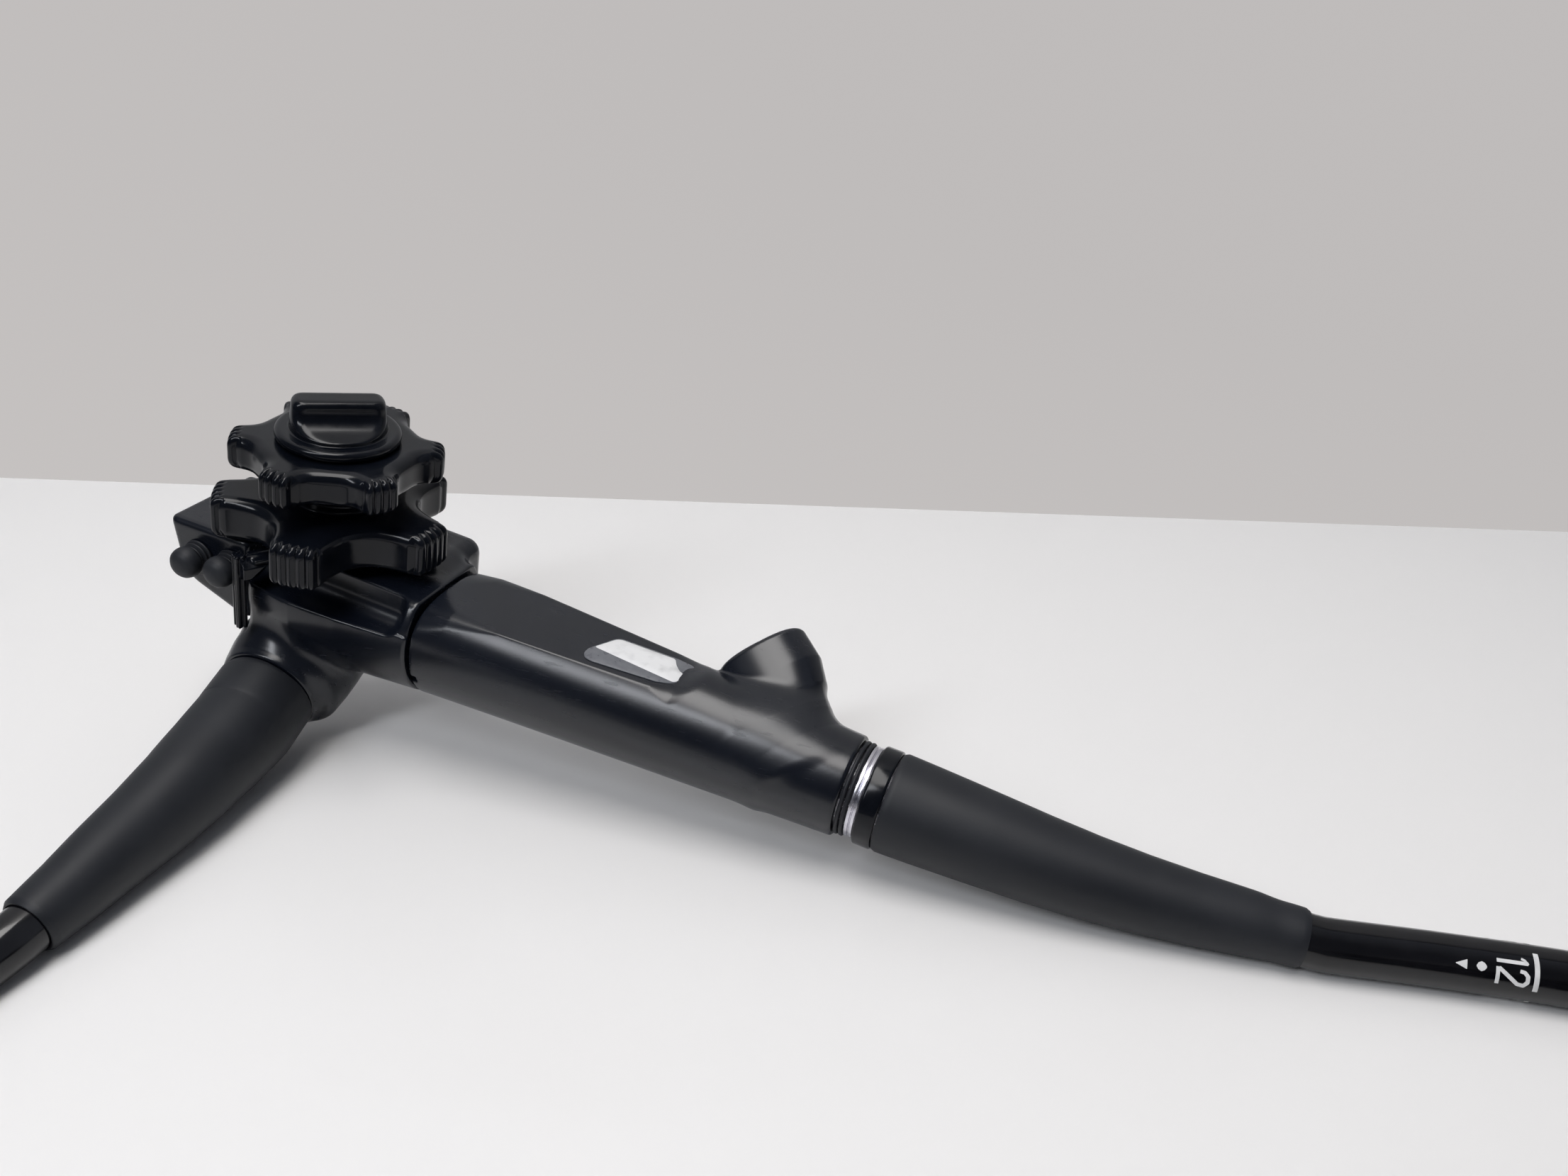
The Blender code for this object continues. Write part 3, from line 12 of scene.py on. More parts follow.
import bmesh
import bpy
import numpy as np
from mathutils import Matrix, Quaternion, Vector
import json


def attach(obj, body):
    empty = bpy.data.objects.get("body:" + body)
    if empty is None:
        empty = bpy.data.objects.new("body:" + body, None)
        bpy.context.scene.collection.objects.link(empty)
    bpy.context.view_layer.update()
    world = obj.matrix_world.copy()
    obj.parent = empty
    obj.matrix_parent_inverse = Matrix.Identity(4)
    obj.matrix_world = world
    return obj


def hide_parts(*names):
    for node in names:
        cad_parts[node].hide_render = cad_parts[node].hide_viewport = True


MM = 0.001
UP = np.array([0.0, 0.0, 1.0])

# Height of the lower wheel's joint over the grip's axis, and of that axis over the bench
WHEEL_JOINT_HEIGHT = 22.0
BODY_HEIGHT = 43.0

# Meshes: a direction that no round piece's axis has, and how a mesh is welded, in metres and
# radians
OFF_AXIS = (0.3, 0.9, 0.1)
WELD_DISTANCE = 0.000004
SHORTEST_EDGE = 0.000001
SHARP_ANGLE = math.radians(48.0)

# Camera of the photograph: its place in the bench frame, its turn in degrees, and its focal
# length and sensor's width in millimetres
CAMERA_AT = (227.8, -256.9, 217.7)
CAMERA_TURN = (61.983, -2.192, 21.513)
CAMERA_LENS = 30.0
CAMERA_SENSOR = 36.0

# Bench and wall in metres, and the turn of the bench's back edge in degrees
BENCH_TURN = 21.57
BENCH_SIZE = (8.0, 4.0, 1.0)
BENCH_AT = (0.680, -1.627, 0.0)
WALL_SIZE = (12.0, 3.0, 1.0)
WALL_AT = (-0.10, 0.355, 0.6)

# From the object to the bench's middle in the bench's own directions, and the distances from
# the object between which the bench darkens with painted shade
OBJECT_TO_BENCH = (0.034, -1.763, 0.0)
NEAR_OBJECT = (0.32, 0.62)

# Control section, as the solids have it, in the grip's frame
FACET_HEIGHT = 13.1
GRIP_START = 35.6
GRIP_END = 154.2
HEAD_START = -15.0
HEAD_END = 34.5
RING_CENTRE = np.array([-5.7, -22.8, -26.2])
BOSS_AXIS = np.array([0.12, -0.97, -0.2]) / np.linalg.norm([0.12, -0.97, -0.2])
PORT_AZIMUTH = math.radians(55.0)
PORT_TILT = math.radians(38.0)
PORT_MOUTH_X = 119.0
PORT_MOUTH_HEIGHT = 25.4
PORT_POCKET_RADIUS = 7.2
PORT_POCKET_DEPTH = 9.0
HORN_DEPTH = 30.0
HORN_HALF_LENGTH = 13.0
HORN_HALF_WIDTH = 9.3
SWITCH_X = (-30.7, -20.2)
SWITCH_Z = (6.2, 7.0)
SWITCH_CAP_HEIGHT = 4.3
BOX_FRONT_Y = -18.6
BOX_BACK_Y = 13.0
BOX_TOP_Z = 15.2
BOX_CORNER_X = -38.5
VALVE_X = (0.5, 20.5)
VALVE_BLOCK_Y = 25.0
VALVE_AXIS_Z = 0.5
SEAL_RADIUS = 11.1
BAND_END = 159.3
COLLAR_START = 159.6
COLLAR_END = 164.4

# Sizes of the head, read along x, and of its boss, read behind its ring: where, and how much
HEAD_RADIUS = [-15.0, -13.0, 0.0, 14.0, 34.6], [18.6, 19.7, 21.0, 20.8, 19.35]
HEAD_FLATNESS = [0.0, 14.0, 34.6], [1.0, 0.97, 0.93]
BOSS_RADIUS = [0.0, 2.0, 6.0, 11.0, 19.0], [13.6, 14.2, 15.4, 16.4, 16.5]
BOSS_SHIFT = [2.0, 6.0, 11.0, 19.0], [0.0, 1.0, 3.0, 6.0]
BOSS_RISE = [0.0, 2.0, 6.0, 11.0, 19.0], [0.0, 0.2, 1.6, 4.4, 9.0]

# Roundness of the facet's edge along x, and what the horn's oval does along its depth
FACET_EDGE = [34.0, 44.0, 58.0, 100.0, 106.0], [9.0, 3.0, 0.4, 0.4, 3.0]
HORN_DROP = [1.6, 10.0, 17.0, 24.0, 30.0], [1.0, 1.3, 2.8, 5.5, 8.7]
HORN_LENGTH = [0.0, 1.6, 10.0, 17.0, 24.0, 30.0], [0.98, 1.0, 1.03, 0.98, 0.82, 0.6]
HORN_WIDTH = [0.0, 1.6, 10.0, 17.0, 24.0, 30.0], [0.97, 1.0, 1.0, 0.97, 0.88, 0.75]
HORN_FILLET = [0.0, 5.0, 14.0, 22.0], [0.6, 2.0, 6.0, 9.5]

# Cords and their coils, on the bench
TUBE_RADIUS = 6.4
CABLE_RADIUS = 6.3
COIL_AT = np.array([395.0, -105.0])
COILS_TOP = 39.4
CORD_SPACING = 3.0
BOOT_SPACING = 12.0
BOOT_STEP = 0.9
PLUG_LENGTH = 62.0
PLUG_RADIUS = 21.0
PLUG_AT = np.array([360.0, -165.0, COILS_TOP + PLUG_RADIUS + 0.4])
PLUG_HEADING = np.array([-1.0, 0.0, 0.0])
PLUG_SIDE = np.array([0.0, -1.0, 0.0])

# Place of the depth mark's line along the bench, and how far round the tube its middle lies
MARK_AT_X = 311.9
MARK_TURN = math.radians(-40.0)

# Turns of the coils: degrees turned clockwise, radius, height
TUBE_COIL = [
    (0.0, 86.1, 6.45), (60.0, 72.7, 6.45), (360.0, 72.7, 6.45), (420.0, 59.3, 6.45),
    (600.0, 59.3, 6.45), (700.0, 59.3, 19.35), (760.0, 72.7, 19.35), (790.0, 73.2, 19.35),
    (830.0, 81.6, 16.4), (858.0, 85.6, 8.6), (870.0, 86.1, 6.45),
]
CABLE_COIL = [
    (0.0, 86.1, 32.9), (60.0, 72.8, 32.9), (360.0, 72.8, 32.9), (420.0, 59.3, 32.9),
    (640.0, 59.3, 32.9), (720.0, 59.3, 45.9), (770.0, 66.0, 46.0), (820.0, 66.0, 46.0),
]

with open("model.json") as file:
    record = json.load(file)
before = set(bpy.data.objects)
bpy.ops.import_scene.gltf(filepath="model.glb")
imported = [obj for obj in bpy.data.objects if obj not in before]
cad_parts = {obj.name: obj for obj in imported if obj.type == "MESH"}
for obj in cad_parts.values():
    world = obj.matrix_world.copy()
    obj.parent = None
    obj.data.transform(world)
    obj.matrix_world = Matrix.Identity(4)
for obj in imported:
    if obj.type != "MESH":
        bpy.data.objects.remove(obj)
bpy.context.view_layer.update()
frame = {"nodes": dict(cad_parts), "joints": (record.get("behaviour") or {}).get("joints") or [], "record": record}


def find_frames():
    """The grip's frame and the bench frame, from the lower wheel's joint."""
    joint = next(j for j in frame["joints"] if j["name"] == "ud_wheel_turn")
    up = np.array(joint["axis"], dtype=float)
    up /= np.linalg.norm(up)
    origin = np.array(joint["pos_m"]) / MM - WHEEL_JOINT_HEIGHT * up
    across = np.array([0.0, 1.0, 0.0])
    along = np.cross(across, up)
    return np.stack([along, across, up]), origin


AXES, ORIGIN = find_frames()
BENCH_ORIGIN = np.array([ORIGIN[0], ORIGIN[1], 0.0])


def from_grip(points):
    """Points of the grip's frame, in metres where they lie."""
    return (np.asarray(points) @ AXES + ORIGIN) * MM


def from_bench(points):
    """Points of the bench frame, in metres where they lie."""
    return (np.asarray(points) + BENCH_ORIGIN) * MM


def unit(vector):
    """A vector of length one in the same direction."""
    vector = np.asarray(vector, dtype=float)
    return vector / np.linalg.norm(vector)


# Meshes


def make_piece(name, points, faces, body, finish, nodes=(), normals=None, weld=False):
    """Mesh object from arrays of points in metres and of quads, on its body.

    A surface that has its own normals keeps them; a welded one is smooth up to
    the sharp angle.
    """
    mesh = bpy.data.meshes.new(name)
    mesh.from_pydata(points.tolist(), [], faces.tolist())
    if weld:
        bm = bmesh.new()
        bm.from_mesh(mesh)
        bmesh.ops.remove_doubles(bm, verts=bm.verts, dist=WELD_DISTANCE)
        bmesh.ops.dissolve_degenerate(bm, edges=bm.edges, dist=SHORTEST_EDGE)
        bmesh.ops.recalc_face_normals(bm, faces=bm.faces)
        bm.to_mesh(mesh)
        bm.free()
    mesh.validate()
    mesh.shade_smooth()
    if normals is not None:
        mesh.normals_split_custom_set_from_vertices(normals.tolist())
    elif weld:
        mesh.set_sharp_from_angle(angle=SHARP_ANGLE)
    piece = bpy.data.objects.new(name, mesh)
    bpy.context.collection.objects.link(piece)
    mesh.materials.append(finish)
    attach(piece, body)
    if nodes:
        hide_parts(*nodes)
    return piece


def grid_faces(rows, columns, close_rows=False, close_columns=True):
    """Quads between the points of a grid, stored row by row."""
    i = np.arange(rows if close_rows else rows - 1)
    j = np.arange(columns if close_columns else columns - 1)
    i, j = np.meshgrid(i, j, indexing="ij")
    after_i = (i + 1) % rows
    after_j = (j + 1) % columns
    near = i * columns
    far = after_i * columns
    return np.stack((near + j, near + after_j, far + after_j, far + j), axis=-1).reshape(-1, 4)


def turned(profile, centre, axis, steps=72):
    """Points (rows, steps, 3) of a profile of (radius, height) pairs turned about an axis."""
    axis = unit(axis)
    side = unit(np.cross(axis, OFF_AXIS))
    other = np.cross(axis, side)
    profile = np.asarray(profile, dtype=float)
    angle = 2.0 * np.pi * np.arange(steps) / steps
    spoke = np.cos(angle)[:, None] * side + np.sin(angle)[:, None] * other
    return np.asarray(centre) + profile[:, :1, None] * spoke + profile[:, 1:, None] * axis


def rounded(profile, radius=0.3, steps=4):
    """A profile with each inner corner replaced by a short arc of about this radius.

    Each corner is cut back by the radius along both edges, and the points
    between follow the quadratic curve whose middle control is the corner.
    """
    profile = np.asarray(profile, dtype=float)
    path = [profile[0]]
    for before, corner, after in zip(profile, profile[1:], profile[2:]):
        first = before - corner
        second = after - corner
        start = corner + first * min(0.45, radius / np.linalg.norm(first))
        end = corner + second * min(0.45, radius / np.linalg.norm(second))
        t = np.linspace(0.0, 1.0, steps)[:, None]
        path.extend((1 - t) ** 2 * start + 2 * t * (1 - t) * corner + t**2 * end)
    path.append(profile[-1])
    return np.array(path)


def turned_piece(
    name, profile, centre, axis, body, finish, nodes=(), steps=72, edge=0.3, place=from_grip
):
    """Round piece: a profile from its foot, over its outside, to its far end.

    A profile that doesn't start and end on the axis is a ring and closes on itself.
    """
    closed = profile[0][0] > 0.0
    if closed:
        profile = [*profile, profile[0], profile[1]]
        path = rounded(profile, edge)[1:-1]
    else:
        path = rounded(profile, edge)
    points = turned(path, centre, axis, steps)
    faces = grid_faces(len(path), steps, close_rows=closed)
    return make_piece(name, place(points.reshape(-1, 3)), faces, body, finish, nodes, weld=True)


def spline(points, spacing):
    """Evenly spaced points on the Catmull-Rom curve through a route's points."""
    points = np.asarray(points, dtype=float)
    padded = np.vstack([2 * points[0] - points[1], points, 2 * points[-1] - points[-2]])
    t = np.linspace(0.0, 1.0, 40, endpoint=False)[:, None]
    runs = []
    for before, start, end, after in zip(padded, padded[1:], padded[2:], padded[3:]):
        slope = end - before
        bend = 2 * before - 5 * start + 4 * end - after
        twist = 3 * start - 3 * end + after - before
        runs.append(0.5 * (2 * start + slope * t + bend * t**2 + twist * t**3))
    fine = np.vstack([*runs, points[-1:]])
    return even(fine, spacing)


def lengths_along(path):
    """Length of a path from its start to each of its points."""
    return np.concatenate([[0.0], np.cumsum(np.linalg.norm(np.diff(path, axis=0), axis=1))])


def points_along(path, at):
    """Points of a path at these lengths from its start."""
    length = lengths_along(path)
    return np.stack([np.interp(at, length, path[:, k]) for k in range(3)], axis=-1)


def even(fine, spacing):
    """The same path with points at an even spacing."""
    whole = lengths_along(fine)[-1]
    count = max(2, int(round(whole / spacing)))
    return points_along(fine, np.linspace(0.0, whole, count + 1))


def carried(path, section_radius, sides, start=None):
    """Points (stations, sides, 3) of rings square to a path, each turned as little as possible.

    section_radius gives the rings' radius from the share of the path and the
    angle round the ring; it may leave out either. start is the first ring's
    direction, where that isn't the path's own.
    """
    ahead = np.gradient(path, axis=0)
    if start is not None:
        ahead[0] = start
    ahead /= np.linalg.norm(ahead, axis=1)[:, None]
    side = unit(np.cross(ahead[0], UP))
    sides_along = []
    for direction in ahead:
        side = unit(side - direction * (side @ direction))
        sides_along.append(side)
    side = np.array(sides_along)
    up = np.cross(ahead, side)
    angle = 2.0 * np.pi * np.arange(sides) / sides
    share = np.linspace(0.0, 1.0, len(path))
    radius = np.broadcast_to(section_radius(share[:, None], angle[None, :]), (len(path), sides))
    spoke = np.cos(angle)[None, :, None] * side[:, None] + np.sin(angle)[None, :, None] * up[:, None]
    return path[:, None] + radius[..., None] * spoke


# Distance fields


def merge(first, second, reach):
    """Union of two distance fields with a fillet of about this reach."""
    overlap = np.maximum(reach - np.abs(first - second), 0.0) / reach
    return np.minimum(first, second) - 0.25 * reach * overlap**2


def trim(first, second, reach):
    """What two distance fields share, with the edge between them rounded."""
    return -merge(-first, -second, reach)


def carve(field, cutter, reach):
    """A distance field with another one cut out of it, its edges rounded."""
    return trim(field, -cutter, reach)


def slab(points, centre, half, edge):
    """Distance to a box with rounded edges, from its centre and half sizes."""
    gap = np.abs(points - np.asarray(centre)) - (np.asarray(half) - edge)
    outside = np.linalg.norm(np.maximum(gap, 0.0), axis=-1)
    inside = np.minimum(gap.max(axis=-1), 0.0)
    return outside + inside - edge


def drum(points, centre, axis, radius, half, edge=0.4):
    """Distance to a cylinder with rounded ends, from its middle, axis and half length."""
    arm = points - np.asarray(centre)
    height = arm @ unit(axis)
    spread = np.sqrt(np.maximum((arm**2).sum(axis=-1) - height**2, 0.0))
    return trim(spread - radius, np.abs(height) - half, edge)


def skin(field, low, high, step):
    """Surface where a distance field is zero, as points, quads and normals.

    Every grid cell that the surface crosses gets one point, the mean of the
    crossings on the cell's edges, and every crossed edge gets the quad between
    its four cells. The points then step down the field's gradient onto the
    surface, and the gradient there is the normal.
    """
    low = np.asarray(low, dtype=float)
    axes = [np.arange(a, b + step, step) for a, b in zip(low, high)]
    value = field(np.stack(np.meshgrid(*axes, indexing="ij"), axis=-1))
    shape = tuple(n - 1 for n in value.shape)
    total = np.zeros((*shape, 3))
    count = np.zeros(shape)
    quads = []
    for axis in range(3):
        lower = np.take(value, range(value.shape[axis] - 1), axis=axis)
        upper = np.take(value, range(1, value.shape[axis]), axis=axis)
        crossed = (lower < 0.0) != (upper < 0.0)
        node = np.argwhere(crossed)
        before = lower[crossed]
        after = upper[crossed]
        point = node.astype(float)
        point[:, axis] += before / (before - after)
        across = [k for k in range(3) if k != axis]
        cells = []
        for back_a, back_b in ((0, 0), (1, 0), (1, 1), (0, 1)):
            cell = node.copy()
            cell[:, across[0]] -= back_a
            cell[:, across[1]] -= back_b
            np.add.at(total, tuple(cell.T), point)
            np.add.at(count, tuple(cell.T), 1.0)
            cells.append(cell)
        outward = (before < 0.0) != (axis == 1)
        quads.append((cells, outward))
    used = count > 0.0
    number = np.full(shape, -1)
    number[used] = np.arange(used.sum())
    faces = []
    for cells, outward in quads:
        quad = np.stack([number[tuple(cell.T)] for cell in cells], axis=1)
        faces.append(np.where(outward[:, None], quad, quad[:, ::-1]))
    points = low + step * total[used] / count[used][:, None]
    for _ in range(2):
        slope = gradient(field, points, 0.2 * step)
        points -= (field(points) / np.maximum((slope**2).sum(axis=1), 0.05))[:, None] * slope
    slope = gradient(field, points, 0.3 * step)
    normals = slope / np.linalg.norm(slope, axis=1)[:, None]
    return points, np.vstack(faces), normals


def gradient(field, points, reach):
    """Central differences of a field at points."""
    slope = np.empty_like(points)
    for k in range(3):
        offset = np.zeros(3)
        offset[k] = reach
        slope[:, k] = (field(points + offset) - field(points - offset)) / (2.0 * reach)
    return slope


def skin_piece(name, field, low, high, step, body, finish, nodes):
    """Piece whose surface is a distance field in the grip's frame."""
    points, faces, normals = skin(field, low, high, step * (1.0))
    return make_piece(name, from_grip(points), faces, body, finish, nodes, normals=normals @ AXES)


# Finishes


# The mix node's colour sockets by number, because its other sockets have the same names
MIX_COLOURS = (6, 7)
MIX_RESULT = 2


class Finish:
    """A material under construction: its node tree and its shader."""

    def __init__(self, name, colour, roughness, metallic=0.0):
        self.material = bpy.data.materials.new(name)
        self.material.use_nodes = True
        self.tree = self.material.node_tree
        self.shader = self.tree.nodes["Principled BSDF"]
        self.shader.inputs["Metallic"].default_value = metallic
        self.shader.inputs["Base Color"].default_value = (*colour, 1.0)
        self.shader.inputs["Roughness"].default_value = roughness
        coordinates = self.tree.nodes.new("ShaderNodeTexCoord")
        self.place = coordinates.outputs["Object"]

    def link(self, start, end):
        """Join an output to an input."""
        self.tree.links.new(start, end)

    def noise(self, scale, detail=3.0, stretch=None):
        """Cloudy pattern on the object's coordinates, which a stretch draws out."""
        node = self.tree.nodes.new("ShaderNodeTexNoise")
        node.inputs["Scale"].default_value = scale
        node.inputs["Detail"].default_value = detail
        place = self.place
        if stretch:
            mapping = self.tree.nodes.new("ShaderNodeMapping")
            mapping.inputs["Scale"].default_value = stretch
            self.link(place, mapping.inputs["Vector"])
            place = mapping.outputs["Vector"]
        self.link(place, node.inputs["Vector"])
        return node.outputs["Fac"]

    def remap(self, value, low, high, new_low=0.0, new_high=1.0):
        """A value's range from low to high, stretched onto a new range."""
        node = self.tree.nodes.new("ShaderNodeMapRange")
        node.inputs["From Min"].default_value = low
        node.inputs["From Max"].default_value = high
        node.inputs["To Min"].default_value = new_low
        node.inputs["To Max"].default_value = new_high
        self.link(value, node.inputs["Value"])
        return node.outputs["Result"]

    def combine(self, first, second, operation="MULTIPLY"):
        """Product, or another operation, of two numbers or sockets."""
        node = self.tree.nodes.new("ShaderNodeMath")
        node.operation = operation
        for slot, value in zip(node.inputs, (first, second)):
            if isinstance(value, (int, float)):
                slot.default_value = value
            else:
                self.link(value, slot)
        return node.outputs["Value"]

    def blend(self, share, first, second):
        """Colour between two colours or sockets, by a share."""
        node = self.tree.nodes.new("ShaderNodeMix")
        node.data_type = "RGBA"
        self.link(share, node.inputs["Factor"])
        for socket, value in zip(MIX_COLOURS, (first, second)):
            if isinstance(value, tuple):
                node.inputs[socket].default_value = (*value, 1.0)
            else:
                self.link(value, node.inputs[socket])
        return node.outputs[MIX_RESULT]

    def specks(self, size, amount):
        """Small bright dots on a few of the cells of a random grid."""
        cell = self.tree.nodes.new("ShaderNodeTexVoronoi")
        cell.inputs["Scale"].default_value = size
        self.link(self.place, cell.inputs["Vector"])
        dot = self.remap(cell.outputs["Distance"], 0.05, 0.025)
        chosen = self.remap(cell.outputs["Color"], 1.0 - amount, 1.0 - amount + 0.01)
        return self.combine(dot, chosen)

    def relief(self, height, strength, distance):
        """Fine bumps from a height."""
        node = self.tree.nodes.new("ShaderNodeBump")
        node.inputs["Strength"].default_value = strength
        node.inputs["Distance"].default_value = distance
        self.link(height, node.inputs["Height"])
        self.link(node.outputs["Normal"], self.shader.inputs["Normal"])

    def colour(self, socket):
        """Colour of the surface, from a socket."""
        self.link(socket, self.shader.inputs["Base Color"])

    def roughness(self, socket):
        """Roughness of the surface, from a socket."""
        self.link(socket, self.shader.inputs["Roughness"])


def moulded_plastic():
    """Satin near-black plastic of the housings, handled smooth, with dust and fine scratches."""
    finish = Finish("moulded_plastic", (0.0045, 0.0053, 0.0080), 0.3)
    cloud = finish.noise(35.0)
    worn = finish.remap(cloud, 0.35, 0.7)
    base = finish.blend(worn, (0.0035, 0.0048, 0.0088), (0.0060, 0.0080, 0.0135))
    finish.colour(finish.blend(finish.specks(170.0, 0.12), base, (0.22, 0.23, 0.25)))
    scratch = finish.noise(900.0, 2.0, (0.12, 1.0, 1.0))
    handled = finish.remap(cloud, 0.3, 0.75, 0.21, 0.28)
    finish.roughness(finish.combine(handled, finish.remap(scratch, 0.62, 0.7, 1.0, 1.2)))
    finish.relief(finish.noise(2600.0, 2.0), 0.12, 0.00006)
    return finish.material


def knob_plastic():
    """Glossy black plastic of the wheels and levers."""
    finish = Finish("knob_plastic", (0.0035, 0.0040, 0.0060), 0.2)
    finish.shader.inputs["Specular IOR Level"].default_value = 0.27
    cloud = finish.noise(60.0)
    worn = finish.remap(cloud, 0.35, 0.7)
    base = finish.blend(worn, (0.0022, 0.0030, 0.0052), (0.0040, 0.0052, 0.0084))
    finish.colour(finish.blend(finish.specks(330.0, 0.05), base, (0.28, 0.29, 0.31)))
    finish.roughness(finish.remap(finish.noise(240.0), 0.3, 0.7, 0.13, 0.21))
    finish.relief(finish.noise(1500.0, 2.0), 0.1, 0.00005)
    return finish.material


def soft_rubber():
    """Matte charcoal rubber of the boots and switches."""
    finish = Finish("soft_rubber", (0.012, 0.0135, 0.0175), 0.55)
    finish.shader.inputs["Specular IOR Level"].default_value = 0.35
    cloud = finish.noise(45.0)
    faded = finish.remap(cloud, 0.3, 0.7)
    base = finish.blend(faded, (0.0100, 0.0112, 0.0148), (0.0152, 0.0168, 0.0212))
    finish.colour(finish.blend(finish.specks(150.0, 0.05), base, (0.32, 0.32, 0.33)))
    finish.roughness(finish.remap(cloud, 0.3, 0.7, 0.46, 0.58))
    finish.relief(finish.noise(1800.0, 3.0), 0.18, 0.00008)
    return finish.material


def tube_polymer():
    """Gloss black skin of the tubes, faintly wavy over the coil inside."""
    finish = Finish("tube_polymer", (0.003, 0.003, 0.004), 0.14)
    cloud = finish.remap(finish.noise(80.0), 0.3, 0.7)
    base = finish.blend(cloud, (0.0022, 0.0022, 0.003), (0.0045, 0.0045, 0.006))
    finish.colour(finish.blend(finish.specks(300.0, 0.03), base, (0.28, 0.28, 0.3)))
    finish.roughness(finish.remap(finish.noise(200.0), 0.3, 0.7, 0.1, 0.18))
    finish.relief(finish.noise(420.0, 1.0), 0.12, 0.0001)
    return finish.material


def bright_metal():
    """Polished steel with fine rubbing marks."""
    finish = Finish("bright_metal", (0.64, 0.63, 0.67), 0.22, 1.0)
    rub = finish.noise(700.0, 3.0, (1.0, 0.15, 1.0))
    finish.colour(finish.blend(finish.remap(rub, 0.3, 0.7), (0.55, 0.54, 0.6), (0.74, 0.73, 0.77)))
    finish.roughness(finish.remap(rub, 0.3, 0.7, 0.16, 0.3))
    finish.relief(rub, 0.05, 0.00005)
    return finish.material


def label_stock():
    """Grey plate of the bare label."""
    finish = Finish("label_stock", (0.13, 0.135, 0.15), 0.32)
    grain = finish.noise(500.0, 3.0)
    finish.colour(finish.blend(finish.remap(grain, 0.3, 0.7), (0.115, 0.12, 0.135), (0.15, 0.155, 0.17)))
    finish.roughness(finish.remap(grain, 0.3, 0.7, 0.25, 0.38))
    return finish.material


def mark_paint():
    """White paint of the depth marks, a little worn."""
    finish = Finish("mark_paint", (0.72, 0.72, 0.7), 0.4)
    wear = finish.noise(260.0, 4.0)
    finish.colour(finish.blend(finish.remap(wear, 0.3, 0.5), (0.62, 0.62, 0.62), (0.76, 0.76, 0.76)))
    finish.roughness(finish.remap(wear, 0.3, 0.7, 0.3, 0.5))
    return finish.material


# Control section


def head_field(points):
    """Head: barrel with a flat top, merged with the umbilical boss and the valve block.

    The barrel's radius and flatness are read along x, and above a sloping ledge it
    is a little slimmer on the side away from the valves. The boss is a round stub
    whose radius grows and whose middle rises with the distance behind its ring.
    The wheel recess, the seat of the switch box and the valve holes are cut out.
    """
    x, y, z = np.moveaxis(points, -1, 0)
    barrel = np.sqrt((y / np.interp(x, *HEAD_FLATNESS)) ** 2 + z**2) - np.interp(x, *HEAD_RADIUS)
    ledge = 4.9 - (x - 35.0) * 0.077
    barrel = merge(trim(barrel, z - ledge, 0.5), barrel + 0.55 * (y < 0.0), 0.3)
    barrel = trim(barrel, z - FACET_HEIGHT, 1.6)
    barrel = trim(barrel, np.maximum(HEAD_START - x, x - HEAD_END), 0.8)
    arm = points - RING_CENTRE
    behind = -(arm @ BOSS_AXIS)
    shift = np.interp(behind, *BOSS_SHIFT)
    middle = np.stack([shift, np.zeros_like(behind), np.interp(behind, *BOSS_RISE)], axis=-1)
    spread = np.linalg.norm(arm + behind[..., None] * BOSS_AXIS - middle, axis=-1)
    boss = trim(spread - np.interp(behind, *BOSS_RADIUS), np.maximum(-behind, behind - 20.0), 0.7)
    flank_at = RING_CENTRE - 12.0 * BOSS_AXIS + np.array([5.5, 0.0, -1.0])
    flank = drum(points, flank_at, BOSS_AXIS, 12.5, 8.0, 3.0)
    body = merge(merge(barrel, boss, 5.0), flank, 2.5)
    block = slab(points, (10.5, VALVE_BLOCK_Y - 11.0, 3.2), (20.0, 11.6, 11.2), 4.5)
    body = merge(body, block, 3.0)
    pocket = slab(points, (1.5, -26.2, 19.2), (30.5, 15.0, 15.0), 4.2)
    body = carve(body, pocket, 0.8)
    seat = np.maximum(x - HEAD_START, -11.0 - z)
    body = carve(body, seat, 0.6)
    for valve in VALVE_X:
        hole = drum(points, (valve, VALVE_BLOCK_Y - 3.0, VALVE_AXIS_Z), (0.0, 1.0, 0.0), 5.3, 10.5)
        body = carve(body, hole, 0.5)
    return body


